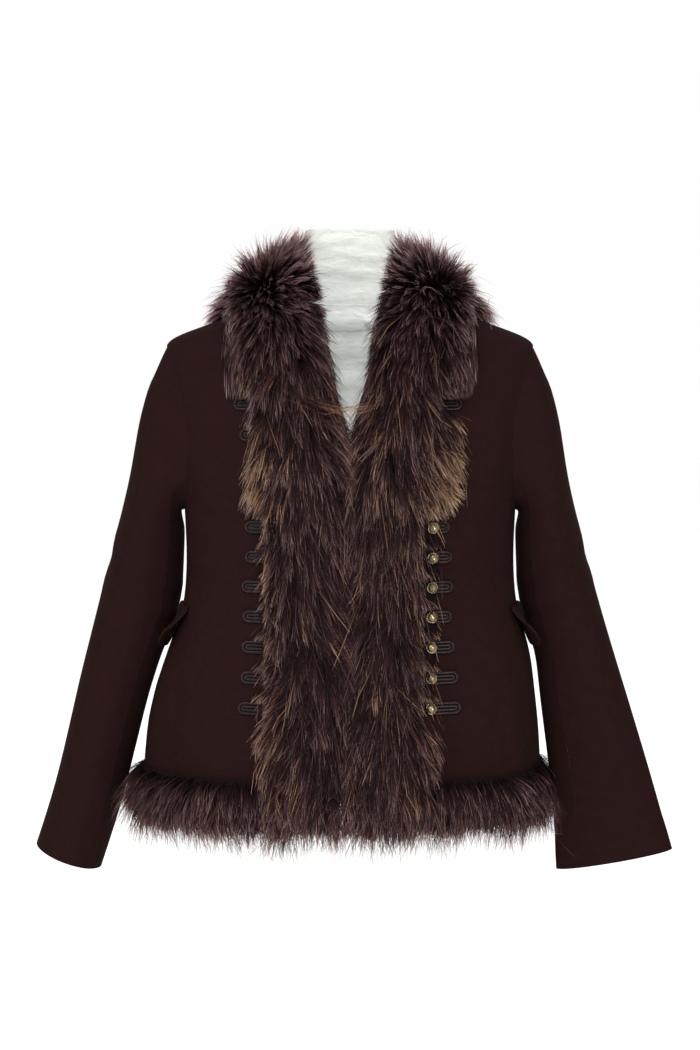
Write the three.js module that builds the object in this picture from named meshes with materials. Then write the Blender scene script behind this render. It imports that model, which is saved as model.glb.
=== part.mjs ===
// A short napoleon jacket: dark melton wool, long-haired fur at the fronts, collar and hem,
// and eleven rows of corded frogging with domed buttons. It keeps the hollow form it has when worn.
// Millimetres, +Z up, the front faces -Y. The origin is the middle of the neck at the level where
// the collar meets the shoulder seams. "left" and "right" are the wearer's: left is +X.
import * as THREE from 'three';

// ---- driving dimensions ----
const WALL = 2.6; // wool with its interlining
const SEAM = 0.18; // each piece stops this far short of a seam line
// What lies on a panel starts this far out, so that its facets clear the panel's where both curve.
const PILE_REST = 0.95;
const NECK_REST = 3.2; // round the neck and over the shoulder, where the curve is tight
const TRIM_REST = 0.85;
const LINING_REST = 2.7;
const LINING_WALL = 1.2;

const SHOULDER_Z = -62;
const UNDERARM_Z = -247;
const HEM_Z = -545;
const FULLNESS = 0.15; // how much fuller than an ellipse the body is at 45 degrees
const ARMHOLE_FRONT = 27; // degrees that the armhole cuts forward of the side line
const ARMHOLE_BACK = 25;
const FLUTES = 8; // soft flutes round the skirt of the jacket
const FLUTE_DEPTH = 4.5;
const FLUTE_TOP_Z = -360;

const ARMHOLE_ROWS = 10;
const SIDE_ROWS = 11;
const PANEL_COLUMNS = 12;

const CORD_PITCH = 32.7; // from one row of frogging to the next
const CORD_FIRST_Z = -124.6;
const CORD_ROWS = 11;

// Level sections of the body: half width, depth in front and behind, and sideways lean.
const BODY = [
  { z: -615, width: 228, front: 147, back: 150, lean: -8 },
  { z: -545, width: 223, front: 141, back: 143, lean: -8 },
  { z: -504, width: 221, front: 137, back: 138, lean: -7.5 },
  { z: -450, width: 214, front: 130, back: 129, lean: -6 },
  { z: -398, width: 202, front: 123, back: 116, lean: -1 },
  { z: -348, width: 186, front: 118, back: 103, lean: 0 },
  { z: -300, width: 183, front: 120, back: 102, lean: 0 },
  { z: -247, width: 185, front: 127, back: 110, lean: 0 },
  { z: -200, width: 194, front: 126, back: 116, lean: 0 },
  { z: -150, width: 200, front: 112, back: 115, lean: 0 },
  { z: -100, width: 205, front: 91, back: 105, lean: 0 },
  { z: -62, width: 204, front: 70, back: 88, lean: 0 },
  { z: -31, width: 137, front: 57, back: 72, lean: 0 },
  { z: 0, width: 70, front: 48, back: 60, lean: 0 },
];

// Half width of the neck opening of the wool, and of the fur that overhangs it.
const NECKLINE = [
  { z: -190, wool: 0, fur: 0 },
  { z: -167, wool: 1, fur: 0.5 },
  { z: -123, wool: 24, fur: 15 },
  { z: -67, wool: 42, fur: 25 },
  { z: -20, wool: 60, fur: 40 },
  { z: 0, wool: 70, fur: 71.5 },
];

// Outer edge of the fur front strips, from the hem up to the shoulder.
const STRIP_EDGE = [
  { z: -528, x: 97 },
  { z: -450, x: 99 },
  { z: -208, x: 101 },
  { z: -168, x: 108 },
  { z: -120, x: 120 },
  { z: -75, x: 135 },
  { z: -35, x: 144 },
];

// Sleeve rings below the cap: outer and inner edge seen from the front, depth and set-back.
const SLEEVES = {
  left: [
    { xOut: 253, zOut: -243, xIn: 185.5, zIn: -272, depth: 60, back: 18 },
    { xOut: 275, zOut: -325, xIn: 189.5, zIn: -350, depth: 49, back: 25 },
    { xOut: 292, zOut: -384, xIn: 209, zIn: -408, depth: 44, back: 23 },
    { xOut: 309, zOut: -440, xIn: 215, zIn: -466, depth: 40, back: 15 },
    { xOut: 342, zOut: -549, xIn: 228, zIn: -572, depth: 27, back: 2 },
    { xOut: 364, zOut: -629, xIn: 233, zIn: -652, depth: 21, back: -8 },
  ],
  right: [
    { xOut: 256, zOut: -243, xIn: 185.5, zIn: -272, depth: 60, back: 18 },
    { xOut: 278, zOut: -325, xIn: 190, zIn: -350, depth: 50, back: 25 },
    { xOut: 293, zOut: -384, xIn: 211, zIn: -406, depth: 50, back: 23 },
    { xOut: 307, zOut: -440, xIn: 229, zIn: -462, depth: 50, back: 16 },
    { xOut: 332, zOut: -549, xIn: 256, zIn: -572, depth: 52, back: 6 },
    { xOut: 355, zOut: -622, xIn: 281, zIn: -650, depth: 53, back: 0 },
  ],
};
// How steeply a sleeve leaves the armhole, and how much it turns outward, over the shoulder and at
// the underarm. The fullness rounds the head of the sleeve.
const CAP_DROP_TOP = 0.3;
const CAP_DROP_UNDER = 0.05;
const CAP_TURN_TOP = 0.25;
const CAP_TURN_UNDER = 2.25;
const CAP_FULLNESS = 1;
const CAP_DOWNWARD = 1.1;
const CAP_RINGS = 5;
const ARM_RINGS = 10;
const UNDER_FROM = 7; // the under sleeve spans these columns of the ring
const UNDER_TO = 13;

const FLAP = { from: 71, to: 97, z: -350, drop: 47, thick: 3.6, rest: 1.1, standOff: 21 };
const NOTCH = 25; // how far the fur's edge draws back at each row of frogging
const LOOP = { fromNotch: 4, width: 6.8, legGap: 0.6, thick: 3.3 };
const BUTTON_FIRST_ROW = 4;
const LOOP_REACH_LEFT = [121, 116, 112, 109, 107, 110, 111, 110, 113, 117, 120];
const LOOP_REACH_RIGHT = [126, 119, 116, 114, 113, 113, 117, 116, 117, 118, 121];
const BUTTON = { radius: 6.2, height: 4.6, inset: 8, sides: 10 };

// ---- small tools ----
const RAD = Math.PI / 180;
const sub = (a, b) => new THREE.Vector3().subVectors(a, b);
const along = (p, dir, d) => p.clone().addScaledVector(dir, d);
const mix = (a, b, t) => a + (b - a) * t;
const range = (n) => Array.from({ length: n + 1 }, (_, i) => i / n);
const smooth = (t) => THREE.MathUtils.smoothstep(t, 0, 1);
const hump = (t, width) => Math.exp(-((t / width) ** 2));

// Monotone cubic through one column of a table whose rows rise in `at`.
function curveOf(rows, column, at = 'z') {
  const x = rows.map((r) => r[at]);
  const y = rows.map((r) => r[column]);
  const step = x.slice(1).map((v, i) => v - x[i]);
  const slope = step.map((h, i) => (y[i + 1] - y[i]) / h);
  const tangent = x.map((_, i) => {
    if (i === 0) return slope[0];
    if (i === x.length - 1) return slope[i - 1];
    const before = slope[i - 1];
    const after = slope[i];
    return before * after <= 0 ? 0 : (2 * before * after) / (before + after);
  });
  return (v) => {
    let i = 0;
    while (i < x.length - 2 && v > x[i + 1]) i += 1;
    const t = THREE.MathUtils.clamp((v - x[i]) / step[i], 0, 1);
    const a = (1 + 2 * t) * (1 - t) ** 2 * y[i] + t * (1 - t) ** 2 * step[i] * tangent[i];
    return a + t * t * (3 - 2 * t) * y[i + 1] + t * t * (t - 1) * step[i] * tangent[i + 1];
  };
}

const widthAt = curveOf(BODY, 'width');
const frontAt = curveOf(BODY, 'front');
const backAt = curveOf(BODY, 'back');
const leanAt = curveOf(BODY, 'lean');
const woolNeck = curveOf(NECKLINE, 'wool');
const furNeck = curveOf(NECKLINE, 'fur');
const stripEdge = curveOf(STRIP_EDGE, 'x');

// A point of the body: turn is the angle from centre front in degrees, positive to the left side.
function body(turn, z) {
  const s = Math.sin(turn * RAD);
  const c = Math.cos(turn * RAD);
  const below = THREE.MathUtils.clamp((FLUTE_TOP_Z - z) / (FLUTE_TOP_Z - HEM_Z), 0, 1);
  const flute = 1 + (FLUTE_DEPTH / widthAt(z)) * smooth(below) * Math.sin(FLUTES * turn * RAD);
  const depth = (c > 0 ? frontAt(z) : backAt(z)) * (1 + FULLNESS * s * s);
  return new THREE.Vector3(leanAt(z) + widthAt(z) * s * flute, -depth * c * flute, z);
}

function bodyNormal(turn, z) {
  const around = sub(body(turn + 0.2, z), body(turn - 0.2, z));
  const up = sub(body(turn, z + 0.2), body(turn, z - 0.2));
  return around.cross(up).normalize();
}

// The turn at which the level z reaches a half width x on the front.
const turnAt = (x, z) => Math.asin(Math.min(1, x / widthAt(z))) / RAD;

// Armhole: tau runs from 0 at the shoulder point to 180 at the underarm.
function armhole(tau, reach) {
  const middle = (SHOULDER_Z + UNDERARM_Z) / 2;
  const half = (SHOULDER_Z - UNDERARM_Z) / 2;
  return { turn: 90 + reach * Math.sin(tau * RAD), z: middle + half * Math.cos(tau * RAD) };
}

// ---- turning grids into closed solids ----
function quads(grid, faces, flip) {
  for (let r = 0; r + 1 < grid.length; r += 1) {
    for (let c = 0; c + 1 < grid[r].length; c += 1) {
      const [a, b, d, e] = [grid[r][c], grid[r][c + 1], grid[r + 1][c + 1], grid[r + 1][c]];
      faces.push(...(flip ? [a, b, d, a, d, e] : [a, d, b, a, e, d]));
    }
  }
}

function meshOf(name, points, faces, finish) {
  let volume = 0;
  for (let i = 0; i < faces.length; i += 3) {
    const [a, b, c] = [points[faces[i]], points[faces[i + 1]], points[faces[i + 2]]];
    volume += a.dot(b.clone().cross(c));
  }
  const order = volume > 0 ? faces : faces.toReversed();
  const geometry = new THREE.BufferGeometry();
  geometry.setAttribute('position', new THREE.Float32BufferAttribute(points.flatMap((p) => p.toArray()), 3));
  geometry.setIndex(order);
  geometry.computeVertexNormals();
  const mesh = new THREE.Mesh(geometry, new THREE.MeshStandardMaterial(finish));
  mesh.name = name;
  return mesh;
}

// A solid between two grids of the same size, closed by a rim. Both are point grids [row][column].
function between(name, top, bottom, finish) {
  const rows = top.length;
  const columns = top[0].length;
  const points = [...top.flat(), ...bottom.flat()];
  const index = (layer) => top.map((row, r) => row.map((_, c) => (layer * rows + r) * columns + c));
  const [up, down] = [index(0), index(1)];
  const faces = [];
  quads(up, faces, false);
  quads(down, faces, true);
  const rim = [
    ...up[0].map((v, c) => [v, down[0][c]]),
    ...up.slice(1).map((row, r) => [row[columns - 1], down[r + 1][columns - 1]]),
    ...up[rows - 1].map((v, c) => [v, down[rows - 1][c]]).reverse().slice(1),
    ...up.map((row, r) => [row[0], down[r][0]]).reverse().slice(1),
  ];
  quads(rim, faces, false);
  return meshOf(name, points, faces, finish);
}

// Draws the edges of a grid in by a short distance, so that two pieces stand apart at their seam.
function trimmed(grid, distance) {
  const pull = (p, q) => along(p, sub(q, p).normalize(), distance);
  const inRows = grid.map((row, r) => {
    if (r === 0) return row.map((p, c) => pull(p, grid[1][c]));
    if (r === grid.length - 1) return row.map((p, c) => pull(p, grid[r - 1][c]));
    return row;
  });
  return inRows.map((row) => {
    const last = row.length - 1;
    return row.map((p, c) => {
      if (c === 0) return pull(p, row[1]);
      return c === last ? pull(p, row[last - 1]) : p;
    });
  });
}

const wall = (name, outer, inner, finish) => (
  between(name, trimmed(outer, SEAM), trimmed(inner, SEAM), finish));

// ---- finishes ----
const WOOL = { color: 0x2a1c1b, roughness: 0.95, metalness: 0, side: THREE.DoubleSide };
const FUR = { color: 0x33251f, roughness: 0.9, metalness: 0 };
const SATIN = { color: 0xdfe3de, roughness: 0.5, metalness: 0 };
const BRAID = { color: 0x3a2c2c, roughness: 0.45, metalness: 0 };
const BRASS = { color: 0xb8a070, roughness: 0.4, metalness: 0.9 };

// ---- panels of the body ----
// Rows of places on the body, each from an inner to an outer edge. side is 1 left and -1 right.
function bodyPlaces(inner, outer) {
  return inner.map((a, r) => range(PANEL_COLUMNS).map((t) => (
    { turn: mix(a.turn, outer[r].turn, t), z: mix(a.z, outer[r].z, t) })));
}

// Points of the body at those places, moved out by a height that may differ from place to place.
function onBody(places, side, height) {
  const heightAt = typeof height === 'number' ? () => height : height;
  return places.map((row, r) => row.map(({ turn, z }, c) => (
    along(body(side * turn, z), bodyNormal(side * turn, z), heightAt(r, c)))));
}

const sideRows = range(SIDE_ROWS).slice(1).map((t) => mix(UNDERARM_Z, HEM_Z, t));
const outerEdge = (reach) => [
  ...range(ARMHOLE_ROWS).map((t) => armhole(180 * t, reach)),
  ...sideRows.map((z) => ({ turn: 90, z })),
];

function frontPlaces() {
  const neckFoot = -190;
  const neck = range(ARMHOLE_ROWS).map((t) => neckFoot * (1 - Math.cos(90 * t * RAD)));
  const down = range(SIDE_ROWS).slice(1).map((t) => mix(neckFoot, HEM_Z, t));
  const inner = [...neck, ...down].map((z, r) => ({ turn: r === 0 ? 90 : turnAt(woolNeck(z), z), z }));
  return bodyPlaces(inner, outerEdge(-ARMHOLE_FRONT));
}

function backPlaces() {
  const neckRows = 5;
  const nape = -12;
  const neck = range(neckRows).map((t) => ({ turn: 90 + 90 * t, z: nape * smooth(t) }));
  const rowsDown = ARMHOLE_ROWS + SIDE_ROWS - neckRows;
  const down = range(rowsDown).slice(1).map((t) => ({ turn: 180, z: mix(nape, HEM_Z, t) }));
  return bodyPlaces([...neck, ...down], outerEdge(ARMHOLE_BACK));
}

function panel(name, places, side) {
  return wall(name, onBody(places, side, 0), onBody(places, side, -WALL), WOOL);
}

// ---- sleeves ----
// Ring columns run from the shoulder line (0) over the front to the underarm and up the back.
const RING = 2 * ARMHOLE_ROWS;

const ringPlace = (tau) => (tau <= 180 ? armhole(tau, -ARMHOLE_FRONT) : armhole(360 - tau, ARMHOLE_BACK));

// The top edge of a sleeve with the way it leaves the seam: over the shoulder it carries the body's
// surface on, and toward the underarm it turns outward, so that the two walls never cross.
function capRing(side) {
  const pointAt = ({ turn, z }) => body(side * turn, z);
  return range(RING).slice(0, RING).map((t) => {
    const tau = 360 * t;
    const place = ringPlace(tau);
    const at = pointAt(place);
    const onward = sub(pointAt(ringPlace(tau + 1)), at);
    const into = onward.cross(bodyNormal(side * place.turn, place.z)).normalize().multiplyScalar(-side);
    const low = Math.sin((tau / 2) * RAD);
    const drop = mix(CAP_DROP_TOP, CAP_DROP_UNDER, low);
    const away = new THREE.Vector3(side, 0, -drop).multiplyScalar(mix(CAP_TURN_TOP, CAP_TURN_UNDER, low));
    const leave = into.clone().multiplyScalar(1 - low * low).add(away).normalize();
    const outward = new THREE.Vector3(side, 0, 0);
    return { at: along(along(at, into, 2 * SEAM), outward, 2 * SEAM * low), leave };
  });
}

function armRings(side, rows) {
  const keyed = rows.map((r, i) => ({ ...r, at: i }));
  const column = (name) => curveOf(keyed, name, 'at');
  const [xOut, zOut, xIn, zIn] = ['xOut', 'zOut', 'xIn', 'zIn'].map(column);
  const [depth, back] = ['depth', 'back'].map(column);
  return range(ARM_RINGS).map((t) => {
    const k = t * (rows.length - 1);
    const outer = new THREE.Vector3(side * xOut(k), back(k), zOut(k));
    const inner = new THREE.Vector3(side * xIn(k), back(k), zIn(k));
    const middle = outer.clone().add(inner).multiplyScalar(0.5);
    return range(RING).slice(0, RING).map((q) => {
      const turn = 360 * q * RAD;
      const p = along(middle, sub(outer, middle), Math.cos(turn));
      return along(p, new THREE.Vector3(0, -1, 0), depth(k) * Math.sin(turn));
    });
  });
}

function sleeveRings(side, rows) {
  const arm = armRings(side, rows);
  const cap = capRing(side);
  const rings = range(CAP_RINGS).slice(0, CAP_RINGS).map((t) => cap.map(({ at, leave }, q) => {
    const end = arm[0][q];
    const down = sub(arm[1][q], end).normalize();
    const reach = at.distanceTo(end);
    const h1 = t * t * (3 - 2 * t);
    const p = at.clone().multiplyScalar(1 - h1).addScaledVector(end, h1);
    p.addScaledVector(leave, t * (1 - t) ** 2 * reach * CAP_FULLNESS);
    return p.addScaledVector(down, t * t * (t - 1) * reach * CAP_DOWNWARD);
  }));
  return [...rings, ...arm];
}

// Unit normals of a closed stack of rings, pointing away from the arm.
function ringNormals(rings, side) {
  return rings.map((ring, r) => ring.map((_, q) => {
    const before = rings[Math.max(0, r - 1)][q];
    const after = rings[Math.min(rings.length - 1, r + 1)][q];
    const around = sub(ring[(q + 1) % RING], ring[(q + RING - 1) % RING]);
    return around.cross(sub(after, before)).normalize().multiplyScalar(side);
  }));
}

function sleeve(hand, side) {
  const outer = sleeveRings(side, SLEEVES[hand]);
  const normals = ringNormals(outer, side);
  const inner = outer.map((ring, r) => ring.map((p, q) => along(p, normals[r][q], -WALL)));
  const span = (rings, from, to) => rings.map((ring) => (
    Array.from({ length: to - from + 1 }, (_, i) => ring[(from + i + RING) % RING])));
  const piece = (name, from, to) => wall(name, span(outer, from, to), span(inner, from, to), WOOL);
  return [
    piece(`sleeve_upper_${hand}`, UNDER_TO - RING, UNDER_FROM),
    piece(`sleeve_under_${hand}`, UNDER_FROM, UNDER_TO),
  ];
}

// ---- fur ----
// Locks of hair make a pile uneven by a few millimetres.
const locks = (u, v) => 2.6 * Math.sin(u / 9.5 + 1.7 * Math.sin(v / 21)) + 1.8 * Math.sin(u / 4.7 - v / 13);

// The way the fur stands round the neck: nearly upright, leaning in over it.
const standingAt = (turn) => (
  new THREE.Vector3(-0.35 * Math.sin(turn * RAD), 0.35 * Math.cos(turn * RAD), 0.94).normalize());

// A pile standing on body places, at a small rest above them. height gives its thickness and lift
// how far it turns upright.
function pile(name, places, side, rest, height, lift) {
  const base = onBody(places, side, rest);
  const top = places.map((row, r) => row.map(({ turn, z }, c) => {
    const n = bodyNormal(side * turn, z);
    const dir = n.lerp(standingAt(side * turn), lift(r, c)).normalize();
    return along(base[r][c], dir, height(r, c, base[r][c]));
  }));
  return between(name, top, base, FUR);
}

const FUR_COLUMNS = 6;
const COLLAR_EDGE_Z = -35;
const COLLAR_BACK_EDGE_Z = -82;
// Thickness of the collar from the neck to its free edge, as parts of its height there.
const COLLAR_STAND = 66;
const COLLAR_PROFILE = [1, 0.97, 0.85, 0.74, 0.62, 0.46, 0.2];
const STRIP_PROFILE = [0.45, 0.85, 1, 1, 0.9, 0.66, 0.2];
const STRIP_PILE = 31;

// Rows of a front strip: a few over the shoulder, then four for each row of frogging.
const SHOULDER_LEVELS = [-1, -4, -10, -19, -32, -49, -68, -88, -106];
const STRIP_FOOT = -527.3;
function stripLevels() {
  const rowStep = CORD_PITCH / 4;
  const first = CORD_FIRST_Z + rowStep;
  const count = Math.floor((first - STRIP_FOOT - 1) / rowStep);
  const down = Array.from({ length: count + 1 }, (_, i) => first - i * rowStep);
  return [...SHOULDER_LEVELS, ...down, STRIP_FOOT];
}

function furFront(hand, side) {
  const levels = stripLevels();
  const shoulderRows = SHOULDER_LEVELS.length;
  const centreGap = 0.4;
  const places = levels.map((z, r) => {
    const zOuter = r < shoulderRows ? mix(COLLAR_EDGE_Z, z, smooth(r / shoulderRows)) : z;
    const row = (z - CORD_FIRST_Z) / CORD_PITCH;
    const atCord = z < CORD_FIRST_Z + CORD_PITCH / 2 ? 0.5 + 0.5 * Math.cos(2 * Math.PI * row) : 0;
    const inner = r === 0 ? 90 : turnAt(Math.max(centreGap, furNeck(z)), z);
    const outer = r === 0 ? 90 : turnAt(stripEdge(zOuter) - NOTCH * atCord, zOuter);
    return range(FUR_COLUMNS).map((t) => ({ turn: mix(inner, outer, t), z: mix(z, zOuter, t) }));
  });
  const upright = (r) => 1 - smooth(r / shoulderRows);
  const height = (r, c, p) => {
    const stand = COLLAR_STAND * COLLAR_PROFILE[c];
    const strip = STRIP_PILE * STRIP_PROFILE[c];
    const swell = c === 0 || r === 0 ? 0 : locks(p.x, p.z);
    return mix(strip, stand, upright(r)) + swell * (c === FUR_COLUMNS ? 0.3 : 1);
  };
  // The outer columns of the pile clear the cords that run in under it.
  const overCords = [0, 0, 0, 0, 1.8, 4.3, 4.3];
  const rest = (r, c) => mix(PILE_REST, NECK_REST, upright(r)) + overCords[c] * (1 - upright(r));
  return pile(`fur_front_${hand}`, places, side, rest, height, (r, c) => upright(r) * (1 - c / FUR_COLUMNS));
}

const COLLAR_TURNS = 16;
const COLLAR_NAPE_RISE = 20;
const SEAM_TOP_Z = -1; // where the collar is sewn on at the sides, and how much lower at the nape
const NAPE_DROP = 9;
const collarTop = (turn) => COLLAR_STAND + COLLAR_NAPE_RISE * Math.sin((turn - 90) * RAD);

function furCollar() {
  const endGap = 0.2;
  const places = range(COLLAR_TURNS).map((t) => {
    const turn = mix(90 + endGap, 270 - endGap, t);
    const behind = Math.sin((turn - 90) * RAD);
    const outer = mix(COLLAR_EDGE_Z, COLLAR_BACK_EDGE_Z, behind ** 2);
    return range(FUR_COLUMNS).map((c) => ({ turn, z: mix(SEAM_TOP_Z - NAPE_DROP * behind, outer, c) }));
  });
  const height = (r, c, p) => {
    const turn = 90 + 180 * (r / COLLAR_TURNS);
    const swell = c === 0 || r === 0 || r === COLLAR_TURNS ? 0 : locks(p.x, p.y);
    return collarTop(turn) * COLLAR_PROFILE[c] + swell;
  };
  return pile('fur_collar', places, 1, NECK_REST, height, (r, c) => 1 - c / FUR_COLUMNS);
}

const HEM_FUR = { top: -528.5, foot: -592, pile: 29, turns: 56 };
// The sleeves press the hem fur down at the sides: how much on the left and on the right.
const PRESSED = { left: 0.84, right: 0.7, spread: 24 };
const HEM_PROFILE = [0.45, 0.9, 1, 0.85, 0.4];

function furHem() {
  const endGap = 0.2;
  const columns = HEM_PROFILE.length - 1;
  const places = range(HEM_FUR.turns).map((t) => {
    const turn = mix(endGap, 360 - endGap, t);
    const ragged = 7 * Math.sin(turn * 0.31) + 5 * Math.sin(turn * 0.53);
    return range(columns).map((c) => ({ turn, z: mix(HEM_FUR.top, HEM_FUR.foot + c * ragged, c) }));
  });
  const height = (r, c, p) => {
    const turn = 360 * (r / HEM_FUR.turns);
    const pressed = 1 - PRESSED.left * hump(turn - 90, PRESSED.spread)
      - PRESSED.right * hump(turn - 270, PRESSED.spread);
    const swell = c === 0 || r === 0 || r === HEM_FUR.turns ? 0 : 0.8 * locks(turn * 3.4, p.z);
    return (HEM_FUR.pile * HEM_PROFILE[c] + swell) * pressed;
  };
  return pile('fur_hem', places, 1, PILE_REST, height, () => 0);
}

// ---- lining ----
function collarLining() {
  const inset = 4; // degrees clear of the front strips
  const parts = 4;
  const grid = (depth) => range(COLLAR_TURNS).map((t) => {
    const turn = mix(90 + inset, 270 - inset, t);
    const behind = Math.sin((turn - 90) * RAD);
    const foot = SEAM_TOP_Z - NAPE_DROP * behind;
    const base = along(body(turn, foot), bodyNormal(turn, foot), NECK_REST);
    const inward = new THREE.Vector3(-Math.sin(turn * RAD), Math.cos(turn * RAD), 0);
    return range(parts).map((s) => (
      along(along(base, standingAt(turn), collarTop(turn) * mix(0.02, 0.97, s)), inward, depth)));
  });
  return between('collar_lining', grid(TRIM_REST), grid(TRIM_REST + LINING_WALL), SATIN);
}

function backLining() {
  const columns = 8;
  const foot = -330;
  const places = range(14).map((t) => {
    const turn = mix(124, 236, t);
    const top = -6 - NAPE_DROP * Math.sin((turn - 90) * RAD);
    return range(columns).map((s) => ({ turn, z: mix(top, foot, s) }));
  });
  const under = WALL + LINING_REST;
  return between('back_lining', onBody(places, 1, -under), onBody(places, 1, -under - LINING_WALL), SATIN);
}

// ---- pocket flaps ----
function pocketFlap(hand, side) {
  const across = range(9);
  const downRows = range(5);
  const corner = (u) => 1 - 0.2 * hump(u, 0.07) - 0.2 * hump(1 - u, 0.07);
  const grid = (lift) => downRows.map((t) => across.map((u) => {
    const turn = side * mix(FLAP.from, FLAP.to, u);
    const z = FLAP.z - FLAP.drop * t * corner(u);
    const off = FLAP.standOff * t * (1 - u) ** 3;
    return along(body(turn, z), bodyNormal(turn, z), FLAP.rest + off + lift);
  }));
  return between(`pocket_flap_${hand}`, grid(FLAP.thick), grid(0), WOOL);
}

// ---- frogging and buttons ----
// A doubled cord runs out, round an end and back. Its section has a ridge for each cord.
const CORD_SECTION = [
  { across: -0.5, up: 0 }, { across: -0.5, up: 0.62 }, { across: -0.25, up: 1 }, { across: 0, up: 0.5 },
  { across: 0.25, up: 1 }, { across: 0.5, up: 0.62 }, { across: 0.5, up: 0 },
];

function frontPoint(side, x, z, lift) {
  const turn = side * turnAt(x, z);
  return along(body(turn, z), bodyNormal(turn, z), TRIM_REST + lift);
}

const loopStart = (z) => stripEdge(z) - NOTCH + LOOP.fromNotch;

function frogLoop(hand, side, row, reach) {
  const z0 = CORD_FIRST_Z - row * CORD_PITCH;
  const radius = (LOOP.width + LOOP.legGap) / 2;
  const legEnd = reach - radius - LOOP.width / 2;
  const legStart = loopStart(z0);
  const legs = [legStart, mix(legStart, legEnd, 0.5)];
  const path = [
    ...legs.map((x) => ({ x, z: radius, nx: 0, nz: 1 })),
    ...range(6).map((t) => {
      const turn = Math.PI * (0.5 - t);
      const [nx, nz] = [Math.cos(turn), Math.sin(turn)];
      return { x: legEnd + radius * nx, z: radius * nz, nx, nz };
    }),
    ...legs.toReversed().map((x) => ({ x, z: -radius, nx: 0, nz: -1 })),
  ];
  const rings = path.map((p) => CORD_SECTION.map(({ across, up }) => {
    const off = across * LOOP.width;
    return frontPoint(side, p.x + off * p.nx, z0 + p.z + off * p.nz, up * LOOP.thick);
  }));
  const points = rings.flat();
  const size = CORD_SECTION.length;
  const closed = rings.map((ring, r) => [...ring.map((_, i) => r * size + i), r * size]);
  const faces = [];
  quads(closed, faces, false);
  const outline = CORD_SECTION.map((s) => new THREE.Vector2(s.across, s.up));
  const fan = THREE.ShapeUtils.triangulateShape(outline, []);
  const end = (first, flip) => fan.forEach((corners) => {
    const [a, b, c] = flip ? corners.toReversed() : corners;
    faces.push(first + a, first + b, first + c);
  });
  end(0, true);
  end((rings.length - 1) * size, false);
  return meshOf(`frog_loop_${hand}_${row + 1}`, points, faces, BRAID);
}

function button(row) {
  const z = CORD_FIRST_Z - row * CORD_PITCH;
  const x = loopStart(z) + BUTTON.inset;
  const foot = frontPoint(1, x, z, LOOP.thick + TRIM_REST);
  const normal = bodyNormal(turnAt(x, z), z);
  const profile = range(4).map((t) => (
    new THREE.Vector2(BUTTON.radius * Math.cos(90 * t * RAD), 1 + BUTTON.height * Math.sin(90 * t * RAD))));
  profile[4].x = 0;
  const outline = [new THREE.Vector2(0, 0), new THREE.Vector2(BUTTON.radius * 0.86, 0), ...profile];
  const geometry = new THREE.LatheGeometry(outline, BUTTON.sides);
  const mesh = new THREE.Mesh(geometry, new THREE.MeshStandardMaterial(BRASS));
  mesh.name = `button_${row + 1}`;
  mesh.position.copy(foot);
  mesh.quaternion.setFromUnitVectors(new THREE.Vector3(0, 1, 0), normal);
  return mesh;
}

// ---- the jacket ----
const jacket = new THREE.Group();
const fronts = frontPlaces();
const backs = backPlaces();
for (const [hand, side, reaches] of [['left', 1, LOOP_REACH_LEFT], ['right', -1, LOOP_REACH_RIGHT]]) {
  jacket.add(panel(`front_${hand}`, fronts, side), panel(`back_${hand}`, backs, side));
  jacket.add(...sleeve(hand, side), pocketFlap(hand, side), furFront(hand, side));
  reaches.forEach((reach, row) => jacket.add(frogLoop(hand, side, row, reach)));
}
for (let row = BUTTON_FIRST_ROW; row < CORD_ROWS; row += 1) jacket.add(button(row));
jacket.add(furCollar(), furHem(), collarLining(), backLining());

export default jacket;
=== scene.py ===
# %% [markdown]
# # A short jacket with long-haired fur, frogging and domed buttons
# The jacket is a hollow shell of dark melton wool, lined with ivory satin and filled out as when
# it is worn. This lesson dresses its fixed frame: cloth first, then the sewn-on trim, then the
# fur, which is most of what the eye sees. Lengths are given in millimetres and turned to metres.

# %% Load the frame
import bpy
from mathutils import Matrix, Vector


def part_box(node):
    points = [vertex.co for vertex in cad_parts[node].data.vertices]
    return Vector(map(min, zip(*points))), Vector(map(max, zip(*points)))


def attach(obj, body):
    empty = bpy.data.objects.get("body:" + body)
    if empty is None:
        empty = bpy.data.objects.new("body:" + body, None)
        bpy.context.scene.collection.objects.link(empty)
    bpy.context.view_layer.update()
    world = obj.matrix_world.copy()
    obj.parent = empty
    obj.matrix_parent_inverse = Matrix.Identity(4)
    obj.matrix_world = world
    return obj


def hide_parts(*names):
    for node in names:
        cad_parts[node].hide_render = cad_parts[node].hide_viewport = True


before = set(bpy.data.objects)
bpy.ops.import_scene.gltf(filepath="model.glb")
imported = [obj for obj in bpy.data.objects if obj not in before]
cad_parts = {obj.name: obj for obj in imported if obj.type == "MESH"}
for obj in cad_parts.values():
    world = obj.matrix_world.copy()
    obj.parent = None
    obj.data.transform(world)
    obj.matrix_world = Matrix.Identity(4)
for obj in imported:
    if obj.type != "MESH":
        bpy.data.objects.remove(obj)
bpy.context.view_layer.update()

import math

import bpy
import numpy as np
from mathutils import Matrix, Vector
from mathutils.bvhtree import BVHTree
from mathutils.kdtree import KDTree

MM = 0.001
HANDS = {"left": 1, "right": -1}  # the wearer's left is +X

# %% [markdown]
# ## Camera, floor and light
# The jacket is seen straight from the front, from nearly three metres away and a little above its
# middle, with a long lens. A white floor far below it and a white sky give a soft, even light. A
# lamp in front reaches down the open neck, and a wide one from the upper left gives the dark cloth
# its form.

# %% Camera
CAMERA_PLACE = Vector((0, -2789, -19)) * MM
CAMERA_PITCH = math.radians(5)  # downwards
CAMERA_LENS = 85.7

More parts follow.
